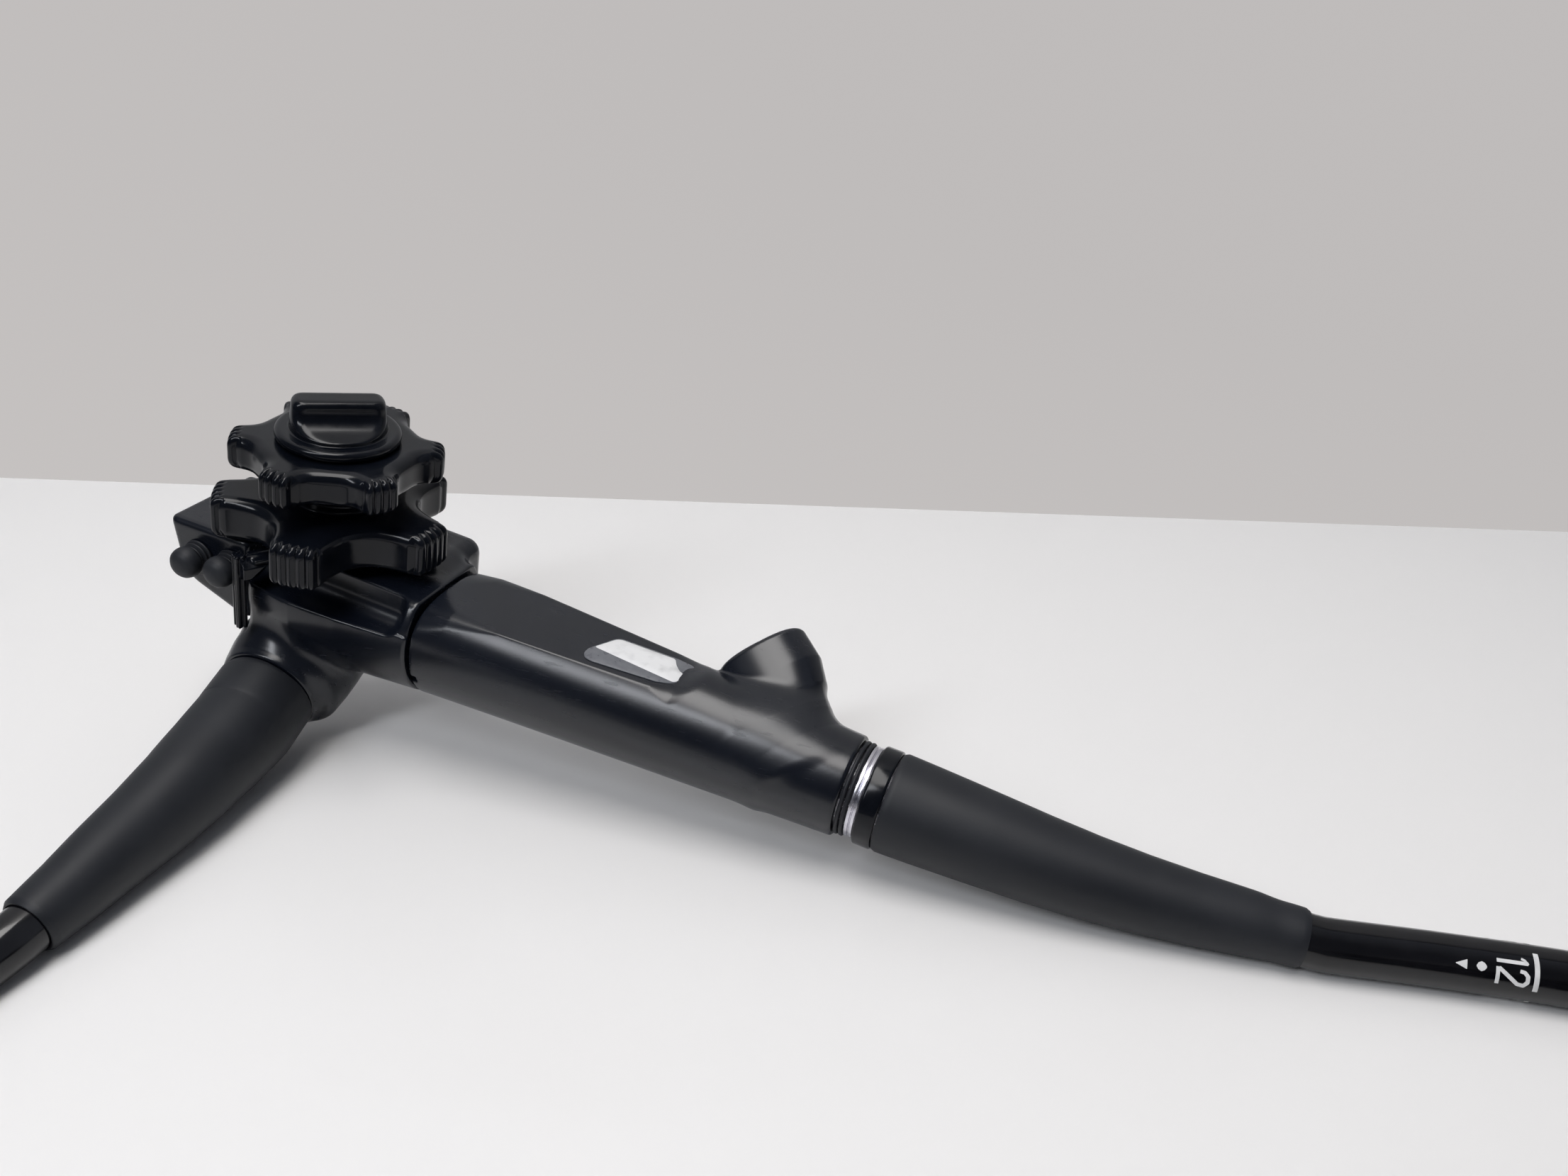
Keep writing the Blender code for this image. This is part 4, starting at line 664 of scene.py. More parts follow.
def grip_field(points):
    """Grip: a tapering barrel with a flat facet, merged with the port's horn and its pocket.

    The facet's plane rises smoothly where it runs out under the port. The horn is an
    oval stub along the port's axis, a superellipse of power 2.6; the sizes of its oval
    and the place of its middle are read along its depth.
    """
    x, y, z = np.moveaxis(points, -1, 0)
    share = np.clip((x - GRIP_START) / (GRIP_END - GRIP_START), 0.0, 1.0)
    radius = 19.3 - 6.1 * share**0.92
    flatness = 0.93 + 0.07 * share
    barrel = np.sqrt((y / flatness) ** 2 + z**2) - radius
    end = np.logaddexp(0.0, (x - 107.0) / 1.6) * 1.6
    facet = z - FACET_HEIGHT - 0.9 * end
    barrel = trim(barrel, facet, np.interp(x, *FACET_EDGE))
    barrel = trim(barrel, np.maximum(GRIP_START - x, x - GRIP_END), 0.9)
    axis = port_axis()
    along = np.array([math.sin(PORT_TILT), 0.0, 0.0]) + math.cos(PORT_TILT) * port_outward()
    across = np.cross(axis, along)
    arm = points - port_mouth()
    depth = -(arm @ axis)
    length = HORN_HALF_LENGTH * np.interp(depth, *HORN_LENGTH)
    width = HORN_HALF_WIDTH * np.interp(depth, *HORN_WIDTH)
    u = np.abs((arm @ along + np.interp(depth, *HORN_DROP)) / length)
    v = np.abs((arm @ across) / width)
    oval = (u**2.6 + v**2.6) ** (1.0 / 2.6)
    ends = np.maximum(-depth, depth - HORN_DEPTH)
    horn = trim((oval - 1.0) * np.minimum(length, width), ends, 1.6)
    body = merge(barrel, horn, np.interp(depth, *HORN_FILLET))
    notch = slab(points, (35.9, -17.2, -7.6), (1.5, 3.0, 1.1), 0.3)
    body = carve(body, notch, 0.3)
    middle = port_mouth() + axis * (3.0 - 0.5 * PORT_POCKET_DEPTH)
    pocket = drum(points, middle, axis, PORT_POCKET_RADIUS, 0.5 * PORT_POCKET_DEPTH + 3.0, 0.5)
    return carve(body, pocket, 1.4)


def port_outward():
    """Direction in which the port leaves the grip, square to the grip's length."""
    return np.array([0.0, math.sin(PORT_AZIMUTH), math.cos(PORT_AZIMUTH)])


def port_axis():
    """The port's axis, which leans from that direction back towards the head."""
    return np.array([-math.cos(PORT_TILT), 0.0, 0.0]) + math.sin(PORT_TILT) * port_outward()


def port_mouth():
    """Middle of the port's mouth."""
    return np.array([PORT_MOUTH_X, 0.0, 0.0]) + PORT_MOUTH_HEIGHT * port_outward()


def box_field(points):
    """Switch box: the space between six faces, its edges rounded.

    Its end slopes in towards the bottom, its bottom slopes down to the head and
    its front turns in a little towards the head.
    """
    x, y, z = np.moveaxis(points, -1, 0)
    end = (-40.4 - x) * 0.977 + (BOX_TOP_Z - z) * 0.215
    bottom = (-3.0 - z) * 0.931 + (-34.5 - x) * 0.363
    front = (BOX_FRONT_Y + (x - BOX_CORNER_X) * 0.0426) - y
    body = trim(end, x + 15.3, 0.9)
    body = trim(body, z - BOX_TOP_Z, 1.8)
    body = trim(body, bottom, 4.0)
    body = trim(body, front, 2.2)
    return trim(body, y - BOX_BACK_Y, 2.2)


def build_housings(plastic):
    """Head, grip and switch box."""
    skin_piece(
        "head_shell", head_field, (-27.0, -38.0, -44.0), (37.0, 28.0, 16.0), 0.6, "control_section",
        plastic, ["head_housing"],
    )
    skin_piece(
        "grip_cover", grip_field, (33.0, -20.0, -22.0), (157.0, 34.0, 25.0), 0.6, "control_section",
        plastic, ["grip_shell"],
    )
    skin_piece(
        "switch_cover", box_field, (-42.5, -21.0, -13.0), (-13.0, 16.0, 18.0), 0.5, "control_section",
        plastic, ["switch_box"],
    )


def lobed_wheel_field(points, radius, valley, lobes, phase, width, beads, top, bottom):
    """Control wheel: a hub disc and lobes that widen towards it, with beads over each lobe's end.

    Every point is read in its nearest lobe and in the next one, and the two are
    merged, which rounds the valley between them.

    The grooves between the beads are added to the whole field near the rim, so that
    the beads run on over the rounded edges.
    """
    x, y, z = np.moveaxis(points, -1, 0)
    spread = np.hypot(x, y)
    pitch = 2.0 * np.pi / lobes
    half = math.asin(0.5 * width / radius)
    turn = (np.arctan2(y, x) - phase + 0.5 * pitch) % pitch - 0.5 * pitch
    walls = []
    for angle in (np.abs(turn), pitch - np.abs(turn)):
        reach = radius - spread * np.cos(angle)
        walls.append((np.abs(spread * np.sin(angle)) - 0.5 * width - 0.16 * reach) * 0.98)
    body = merge(merge(*walls, 7.5), spread - valley, 0.75 * (radius - valley))
    body = trim(body, spread - radius, 1.6)
    body = trim(body, np.abs(z - 0.5 * (top + bottom)) - 0.5 * (top - bottom), 3.2)
    share = np.clip(turn / half, -1.0, 1.0)
    across = 2.0 * ((beads * 0.5 * (share + 1.0)) % 1.0) - 1.0
    groove = 1.0 - np.sqrt(np.maximum(1.0 - across**2, 0.0))
    near_rim = np.clip((spread - radius + 3.4) / 1.4, 0.0, 1.0)
    return body + 0.75 * groove * near_rim * np.clip(3.0 - 2.0 * np.abs(turn) / half, 0.0, 1.0)


def lower_wheel_field(points):
    """Lower wheel: five broad lobes, a raised hub and the hole for its shaft."""
    wheel = lobed_wheel_field(
        points, radius=31.8, valley=16.6, lobes=5, phase=math.radians(-73.5), width=12.4, beads=5,
        top=28.4, bottom=16.1,
    )
    wheel = merge(wheel, drum(points, (0.0, 0.0, 25.0), UP, 12.0, 6.3, 0.8), 1.0)
    return carve(wheel, drum(points, (0.0, 0.0, 24.0), UP, 4.4, 9.0, 0.1), 0.3)


def upper_wheel_field(points):
    """Upper wheel: six shorter lobes, a hub that reaches down and the hole for its post."""
    wheel = lobed_wheel_field(
        points, radius=27.1, valley=21.0, lobes=6, phase=math.radians(-88.5), width=9.0, beads=4,
        top=45.0, bottom=35.2,
    )
    wheel = merge(wheel, drum(points, (0.0, 0.0, 36.0), UP, 13.0, 4.5, 0.8), 1.0)
    return carve(wheel, drum(points, (0.0, 0.0, 38.0), UP, 2.6, 9.0, 0.1), 0.3)


def build_wheels(plastic):
    """The two control wheels."""
    skin_piece(
        "lower_wheel", lower_wheel_field, (-33.0, -33.0, 15.0), (33.0, 33.0, 32.5), 0.42, "ud_control",
        plastic, ["ud_wheel"],
    )
    skin_piece(
        "upper_wheel", upper_wheel_field, (-28.5, -28.5, 30.5), (28.5, 28.5, 46.0), 0.4, "rl_control",
        plastic, ["rl_wheel"],
    )


def along_arm(points, degrees):
    """Points as the distances out along an arm at this angle, aside of it and up."""
    turn = math.radians(degrees)
    x, y, z = np.moveaxis(points, -1, 0)
    out = x * math.cos(turn) + y * math.sin(turn)
    aside = y * math.cos(turn) - x * math.sin(turn)
    return np.stack([out, aside, z], axis=-1)


def knob_field(points):
    """Brake knob: a flange, and a round base scooped on two sides to leave a finger bar.

    The bar's half width is a constant plus a decaying exponential of the height,
    which flares it into the base, and its ends are the base's own round side.
    """
    x, y, z = np.moveaxis(points, -1, 0)
    aside = along_arm(points, 43.0)[..., 1]
    flange = drum(points, (0.0, 0.0, 46.7), UP, 15.9, 1.4, 1.6)
    flare = 9.0 * np.exp(-np.maximum(z - 49.0, 0.0) / 1.5)
    half = 3.9 + flare + 0.012 * np.maximum(z - 52.0, 0.0) ** 2
    body = trim(np.hypot(x, y) - 12.2 + 0.09 * (z - 49.0), np.maximum(z - 56.6, 46.5 - z), 2.2)
    body = trim(body, (np.abs(aside) - half) * 0.7, 1.8)
    return merge(flange, body, 0.4)


def lever_field(points):
    """Elevator lever: a hub plate and a ridged arm under the wheel, and its ribbed thumb plate.

    The ribs are added to the thumb plate's own field, as the absolute sine of a
    slanting distance.
    """
    local = along_arm(points, -118.0)
    out, aside, z = np.moveaxis(local, -1, 0)
    hub = drum(points, (0.0, 0.0, 13.9), UP, 9.0, 0.5, 0.3)
    plate = slab(local, (12.0, 0.0, 13.9), (12.0, 3.0, 0.5), 0.4)
    ridge = slab(local, (22.0, 0.2, 12.0), (4.9, 2.9, 2.9), 0.5)
    ridge = trim(ridge, ((z - 14.9) + 0.9 * (np.abs(aside) - 0.4)) * 0.74, 0.3)
    ridge = trim(ridge, ((8.6 - z) + 0.8 * (25.5 - out)) * 0.6, 0.5)
    groove = 0.4 * (1.0 - np.abs(np.sin(np.pi * (aside - out) / 1.45)) ** 0.7)
    thumb = slab(local, (26.9, -0.8, 4.2), (1.5, 1.9, 11.2), 0.5)
    return merge(merge(merge(hub, plate, 0.4), ridge, 0.6), thumb + groove, 0.8)


def brake_lever_field(points):
    """Brake lever of the lower wheel: a flat arm with a turned-down tab."""
    local = along_arm(points, 112.0)
    hub = drum(points, (0.0, 0.0, 15.2), UP, 9.0, 0.5, 0.3)
    arm = slab(local, (15.0, 0.0, 15.2), (14.0, 2.5, 0.5), 0.4)
    tab = slab(local, (29.0, 0.0, 12.7), (1.3, 3.5, 3.2), 0.8)
    return merge(merge(hub, arm, 0.4), tab, 1.0)


def build_controls(plastic):
    """Brake knob and the two levers."""
    skin_piece(
        "brake_knob", knob_field, (-18.0, -18.0, 44.0), (18.0, 18.0, 58.0), 0.35, "rl_brake",
        plastic, ["rl_brake_knob"],
    )
    skin_piece(
        "thumb_lever", lever_field, (-17.0, -28.0, -8.0), (10.5, 10.5, 16.5), 0.3, "elevator_control",
        plastic, ["elevator_lever"],
    )
    skin_piece(
        "wheel_lock_lever", brake_lever_field, (-17.0, -10.5, 8.0), (10.5, 31.0, 17.5), 0.35, "ud_brake",
        plastic, ["ud_brake_lever"],
    )


def build_switches(rubber):
    """Domed switches, each a cap with a hollow underside over its ribbed bellows."""
    dome = [
        (0.0, 1.3), (3.75, 1.3), (3.75, -0.6), (4.2, -0.6), (4.32, 0.4), (4.3, 1.2), (3.95, 2.4),
        (3.0, 3.4), (1.6, 3.95), (0.0, 4.1),
    ]
    stem = [(0.0, -8.0), (1.5, -8.0), (1.5, 1.2), (0.0, 1.2)]
    bellows = [
        (2.0, 0.3), (4.5, 0.3), (4.5, 0.8), (3.1, 1.15), (4.2, 1.6), (4.1, 1.95), (3.0, 2.25),
        (3.6, 2.6), (3.5, 3.0), (2.0, 3.1),
    ]
    places = [(side, x, z) for side in (-1.0, 1.0) for x, z in zip(SWITCH_X, SWITCH_Z)]
    for number, (side, x, z) in enumerate(places, 1):
        face = BOX_FRONT_Y + (x - BOX_CORNER_X) / 23.5 if side < 0.0 else BOX_BACK_Y
        axis = (0.0, side, 0.0)
        foot = np.array([x, face, z])
        turned_piece(
            f"bellows_{number}", bellows, foot, axis, "control_section", rubber,
            [f"switch_boot_{number}"], 56, 0.25,
        )
        middle = foot + np.array([0.0, SWITCH_CAP_HEIGHT * side, 0.0])
        body = f"switch_{number}"
        cap = turned_piece(
            f"switch_dome_{number}", dome, middle, axis, body, rubber,
            [f"remote_switch_{number}"], 56, 0.4,
        )
        post = turned_piece(f"switch_stem_{number}", stem, middle, axis, body, rubber, (), 24, 0.2)
        post.parent = cap


def build_port(metal):
    """Metal nozzle with a flange, on the floor of the port's pocket."""
    profile = [
        (2.0, 0.0), (2.0, 5.2), (4.1, 5.2), (4.4, 4.6), (3.7, 3.9), (3.7, 1.8), (6.4, 1.6),
        (6.6, 1.3), (6.6, 0.0),
    ]
    foot = port_mouth() - port_axis() * (PORT_POCKET_DEPTH - 0.3)
    turned_piece(
        "port_fitting", profile, foot, port_axis(), "control_section", metal, ["port_nozzle"], 64, 0.25,
    )


def build_valve_cylinders(metal):
    """The two valves' metal cylinders, sunk in the valve block with a flange over it."""
    profile = [(4.3, -11.0), (4.3, 3.0), (6.3, 3.0), (6.3, 0.4), (5.2, 0.4), (5.2, -11.0)]
    for name, x in zip(("air_water", "suction"), VALVE_X):
        at = np.array([x, VALVE_BLOCK_Y, VALVE_AXIS_Z])
        turned_piece(
            f"{name}_liner", profile, at, (0.0, 1.0, 0.0), "control_section", metal,
            [f"{name}_cylinder"], 64, 0.3,
        )


# Outlines of the label's plate and of the white band on it, seen down the wheels' axis
LABEL_OUTLINE = [
    (79.9, -6.0), (79.9, -3.7), (83.6, 4.2), (85.1, 5.3), (101.0, 5.9), (105.6, 5.4), (107.4, 4.0),
    (107.8, 1.3), (105.9, -3.2), (104.1, -5.0), (100.8, -6.3), (83.2, -8.2), (81.0, -7.7),
]
LABEL_BAND = [
    (80.9, -2.2), (84.0, 4.1), (85.3, 4.8), (100.6, 5.3), (102.0, 3.0), (103.6, 1.2), (105.9, 0.2),
    (106.6, -0.6), (104.6, -4.2),
]


def round_corners(outline, radius=0.8, steps=5):
    """A closed outline with its corners rounded by quadratic curves."""
    outline = np.asarray(outline, dtype=float)
    loop = np.vstack([outline[-1:], outline, outline[:1]])
    return rounded(loop, radius, steps)[1:-1]


def flat_plate(name, outline, bottom, top, edge, finish, nodes):
    """Flat plate in the grip's frame, its upper edge rounded off.

    Rings of the outline run from the middle of its underside out, up the side,
    over the edge and in to the middle of its top.
    """
    outline = round_corners(outline)
    middle = np.repeat(outline.mean(axis=0)[None], len(outline), axis=0)
    inward = middle - outline
    inward /= np.linalg.norm(inward, axis=1)[:, None]
    rim = outline + edge * inward
    rings = [
        (middle, bottom), (outline, bottom), (outline, top - edge),
        (outline + 0.3 * edge * inward, top - 0.3 * edge), (rim, top), (0.5 * (rim + middle), top),
        (middle, top),
    ]
    rows = np.stack([np.column_stack([ring, np.full(len(ring), height)]) for ring, height in rings])
    faces = grid_faces(len(rows), len(outline))
    return make_piece(
        name, from_grip(rows.reshape(-1, 3)), faces, "control_section", finish, nodes, weld=True
    )


def build_label(stock, paint):
    """Bare label: a grey plate with a white band on it."""
    for name, outline, bottom, top, edge, finish, nodes in (
        ("label_base", LABEL_OUTLINE, 0.05, 0.3, 0.12, stock, ["label_plate"]),
        ("label_band", LABEL_BAND, 0.28, 0.34, 0.03, paint, ()),
    ):
        flat_plate(name, outline, FACET_HEIGHT + bottom, FACET_HEIGHT + top, edge, finish, nodes)


def build_end_rings(plastic, rubber, metal):
    """Seal rings, grooved bright band and collar between grip and boot."""
    seat = SEAL_RADIUS

    def ring(name, profile, finish, node, edge):
        turned_piece(
            name, profile, (0.0, 0.0, 0.0), (1.0, 0.0, 0.0), "control_section", finish, [node], 96, edge
        )

    start = GRIP_END + 0.3
    for i in range(2):
        near = start + 1.35 * i
        far = near + 1.05
        seal = [
            (seat, near), (seat, far), (12.0, far), (12.3, far - 0.35), (12.3, near + 0.3), (12.1, near),
        ]
        ring(f"seal_{i + 1}", seal, rubber, f"seal_ring_{i + 1}", 0.2)
    near = start + 2.7
    middle = 0.5 * (near + BAND_END)
    band = [
        (seat, near), (seat, BAND_END), (11.9, BAND_END), (11.9, middle + 0.25), (11.5, middle + 0.1),
        (11.5, middle - 0.1), (11.9, middle - 0.25), (11.9, near),
    ]
    ring("grooved_band", band, metal, "bright_band", 0.12)
    near, far = COLLAR_START, COLLAR_END
    sleeve = [(seat, near), (seat, far), (12.5, far), (12.85, 164.0), (12.85, 160.0), (12.6, near)]
    ring("worn_collar", sleeve, plastic, "collar", 0.2)


def to_bench(points):
    """Points of the grip's frame, in the bench frame."""
    return np.asarray(points) @ AXES + np.array([0.0, 0.0, BODY_HEIGHT])


def insertion_boot_path():
    """Middle of the insertion boot, from the collar to its mouth."""
    route = [
        (164.7, 0.0, 0.0), (189.7, 0.2, 0.1), (209.0, 0.8, 0.0), (225.0, 1.8, 0.3),
        (241.0, 3.2, 1.2), (252.0, 4.2, 2.2), (266.0, 5.4, 3.2),
    ]
    return spline(route, BOOT_SPACING)


def umbilical_boot_path():
    """Middle of the umbilical boot, from the boss's ring to its mouth."""
    route = [
        RING_CENTRE + BOSS_AXIS * 0.35, (-2.9, -37.6, -29.2), (0.2, -61.8, -31.2),
        (0.9, -79.5, -32.8), (1.8, -94.5, -34.2), (2.1, -109.5, -35.4),
    ]
    return spline(route, BOOT_SPACING)


def boot_piece(name, path, outer, inner_radius, start, rubber, node, place, edge=0.6):
    """Boot: a wall along its outside from root to lip, and back through its bore.

    Over its last stretch at either end, as long as its edge is round, the outside
    pulls in by a quarter circle.
    """
    path = even(path, BOOT_STEP)

    def outside(share, angle):
        near = share * (len(path) - 1) * BOOT_STEP
        far = (1.0 - share) * (len(path) - 1) * BOOT_STEP
        lip = np.maximum(1.0 - far / edge, 0.0)
        root = np.maximum(1.0 - near / edge, 0.0)
        size = outer(share, angle)
        return size - edge * (1.0 - np.sqrt(1.0 - lip**2)) - edge * (1.0 - np.sqrt(1.0 - root**2))

    sides = 96
    wall = carried(path, outside, sides, start)
    bore = carried(path, lambda share, angle: inner_radius, sides, start)
    rows = np.concatenate([wall, bore[::-1]])
    faces = grid_faces(len(rows), sides, close_rows=True)
    return make_piece(
        name, place(rows.reshape(-1, 3)), faces, "control_section", rubber, [node], weld=True
    )


def build_boots(rubber):
    """The two boots, which thin out: one with a waist before its mouth, one with two soft dents."""

    def insertion_outer(share, angle):
        waist = 0.25 * np.exp(-(((share - 0.93) / 0.035) ** 2))
        return 12.85 - 5.78 * share**1.22 - waist

    def umbilical_outer(share, angle):
        dent = 0.35 * np.exp(-(((share - 0.33) / 0.1) ** 2)) * np.cos(angle - 0.6)
        dent += 0.25 * np.exp(-(((share - 0.6) / 0.12) ** 2)) * np.cos(angle - 2.0)
        return 13.5 - 6.0 * np.maximum(0.0, (share - 0.12) / 0.88) ** 1.2 + dent

    boot_piece(
        "insertion_sleeve", insertion_boot_path(), insertion_outer, TUBE_RADIUS + 0.2, (1.0, 0.0, 0.0),
        rubber, "insertion_boot", from_grip, 0.4,
    )
    boot_piece(
        "umbilical_sleeve", umbilical_boot_path(), umbilical_outer, CABLE_RADIUS + 0.2, BOSS_AXIS,
        rubber, "umbilical_boot", from_grip,
    )


# Cords


def out_of_boot(path, depth=5.0):
    """First points of a cord that leaves a boot straight: in its mouth and just outside."""
    mouth = path[-1]
    back = unit(path[-2] - mouth)
    return [mouth + back * depth, mouth, mouth - back * depth]


def coil_turns(knots, start_angle):
    """Points of a coil, whose radius and height are read along the angle turned and smoothed.

    The smoothing works on steps of 4 degrees, of which every third is kept.
    """
    turn, radius, height = np.array(knots).T
    at = np.arange(0.0, turn[-1] + 1.0, 4.0)
    kernel = np.hanning(11)[1:-1] / np.hanning(11).sum()
    reach = len(kernel) // 2
    smoothed = []
    for values in (radius, height):
        row = np.interp(at, turn, values)
        row[reach:-reach] = np.convolve(row, kernel, "valid")
        smoothed.append(row)
    angle = np.radians(start_angle - at)
    spread, lift = smoothed
    x = COIL_AT[0] + spread * np.cos(angle)
    y = COIL_AT[1] + spread * np.sin(angle)
    return np.column_stack([x, y, lift])[::3]


def cord_piece(name, path, radius, polymer, nodes):
    """Tube along a path, closed by a flat disc at either end."""
    sides = 40
    rings = carried(path, lambda share, angle: radius, sides)
    first = np.repeat(path[:1], sides, axis=0)[None]
    last = np.repeat(path[-1:], sides, axis=0)[None]
    rows = np.concatenate([first, rings, last])
    faces = grid_faces(len(rows), sides)
    return make_piece(
        name, from_bench(rows.reshape(-1, 3)), faces, "control_section", polymer, nodes, weld=True
    )


def build_insertion_tube(polymer):
    """Insertion tube: along the bench, round its coil and out to the bending section."""
    low = TUBE_RADIUS + 0.05
    laid = [
        (293.2, 11.4, low), (320.7, 16.8, low), (336.0, 17.8, low), (351.0, 14.8, low),
        (370.0, 5.6, low), (402.0, -11.6, low),
    ]
    end = [(372.0, -190.4, low), (350.0, -188.4, low), (326.0, -185.2, low), (306.4, -184.0, 6.5)]
    start = out_of_boot(to_bench(insertion_boot_path()))
    path = spline([*start, *laid, *coil_turns(TUBE_COIL, 60.0), *end], CORD_SPACING)
    nodes = ["insertion_tube", "insertion_coil", "insertion_tube_end"]
    return cord_piece("working_tube", path, TUBE_RADIUS, polymer, nodes), path


def build_umbilical_cable(polymer):
    """Umbilical cable: along the bench, round its coil on the tube's, and in an arc to its plug."""
    low = CABLE_RADIUS + 0.05
    laid = [
        (-4.2, -124.0, low), (-4.4, -146.0, low), (2.8, -173.0, low), (22.6, -192.8, low),
        (49.6, -200.0, low), (69.7, -196.1, low), (107.0, -181.1, low), (145.0, -165.8, 8.8),
        (183.0, -150.5, 15.4), (221.0, -135.2, 22.2), (255.0, -121.5, 27.0), (279.0, -111.9, 30.0),
        (298.0, -99.8, 32.1),
    ]
    lift = COILS_TOP + CABLE_RADIUS + 0.3
    turn = np.radians(np.arange(60.0, -89.0, -12.0))
    rise = np.linspace(0.0, 1.0, len(turn)) ** 2 * 6.8
    arc = np.column_stack([436.6 + 52.1 * np.cos(turn), -112.9 + 52.1 * np.sin(turn), lift + rise])
    over = [(439.3, -54.3, lift), (450.7, -60.9, lift)]
    start = out_of_boot(to_bench(umbilical_boot_path()))
    end = out_of_boot(plug_boot_path())[::-1]
    path = spline([*start, *laid, *coil_turns(CABLE_COIL, 160.0), *over, *arc, *end], CORD_SPACING)
    nodes = ["umbilical_cable", "umbilical_coil", "umbilical_cable_end"]
    return cord_piece("light_cable", path, CABLE_RADIUS, polymer, nodes), path


def printed_mark(name, path, start, strokes, paint):
    """Marks on the insertion tube: strokes of a given width, bent round its surface.

    A stroke's points are (millimetres along the tube, millimetres round it,
    width); start is the path length where the marks' zero lies.
    """
    here, further = points_along(path, [start, start + 2.0])
    ahead = unit(further - here)
    side = unit(np.cross(ahead, UP))
    points = []
    faces = []
    for stroke in strokes:
        stroke = np.asarray(stroke, dtype=float)
        steps = np.linspace(0, len(stroke) - 1, 24 * (len(stroke) - 1) + 1)
        along, around, width = (np.interp(steps, range(len(stroke)), stroke[:, k]) for k in range(3))
        run = np.stack([np.gradient(along), np.gradient(around)], axis=1)
        run /= np.linalg.norm(run, axis=1)[:, None]
        across = np.linspace(-0.5, 0.5, 5)
        u = along[:, None] - across * width[:, None] * run[:, 1:]
        v = around[:, None] + across * width[:, None] * run[:, :1]
        centre = points_along(path, start + u)
        angle = v / TUBE_RADIUS
        spoke = np.cos(angle)[..., None] * side + np.sin(angle)[..., None] * np.cross(ahead, side)
        first = sum(len(block) for block in points)
        faces.append(grid_faces(len(along), 5, close_columns=False) + first)
        points.append((centre + (TUBE_RADIUS + 0.05) * spoke).reshape(-1, 3))
    make_piece(name, from_bench(np.vstack(points)), np.vstack(faces), "control_section", paint)


def build_depth_marks(path, paint):
    """The mark 12 with its line, dot and arrow, three times round the tube."""
    length = lengths_along(path)
    first_stretch = length <= 200.0
    start = length[np.argmin(np.abs(path[:, 0] - MARK_AT_X) + 1000.0 * ~first_stretch)]
    strokes = []
    for turn in range(3):
        middle = (MARK_TURN + 2.0 * np.pi * turn / 3.0) * TUBE_RADIUS
        group = [
            [(0.0, -4.8, 1.1), (0.0, 4.2, 1.1)],
            [(-8.6, -1.9, 0.85), (-1.9, -1.9, 0.85)],
            [(-1.9, -1.7, 0.6), (-2.6, -2.6, 0.6), (-3.3, -2.9, 0.6)],
            [
                (-3.6, -0.1, 0.8), (-2.6, 0.1, 0.85), (-1.9, 0.9, 0.9), (-1.9, 2.2, 0.9),
                (-2.7, 3.1, 0.9), (-4.0, 2.9, 0.9), (-5.4, 1.8, 0.9), (-8.1, -0.3, 0.9),
            ],
            [(-8.3, -0.5, 0.85), (-8.3, 3.4, 0.85)],
            [
                (-12.9, 0.0, 0.3), (-12.5, 0.0, 1.5), (-11.8, 0.0, 2.2), (-11.1, 0.0, 1.5),
                (-10.7, 0.0, 0.3),
            ],
            [(-17.4, 0.0, 0.1), (-14.9, 0.0, 2.2)],
        ]
        for stroke in group:
            strokes.append([(along, around + middle, width) for along, around, width in stroke])
    printed_mark("depth_mark", path, start, strokes, paint)


def plug_boot_path():
    """Middle of the plug's boot, which starts straight behind the plug and droops."""
    back = PLUG_AT - PLUG_HEADING * 0.5 * PLUG_LENGTH
    droop = ((0.3, 0.0), (8.0, 0.0), (20.0, 1.9), (34.0, 6.2))
    return spline([back - PLUG_HEADING * run - UP * drop for run, drop in droop], 8.5)


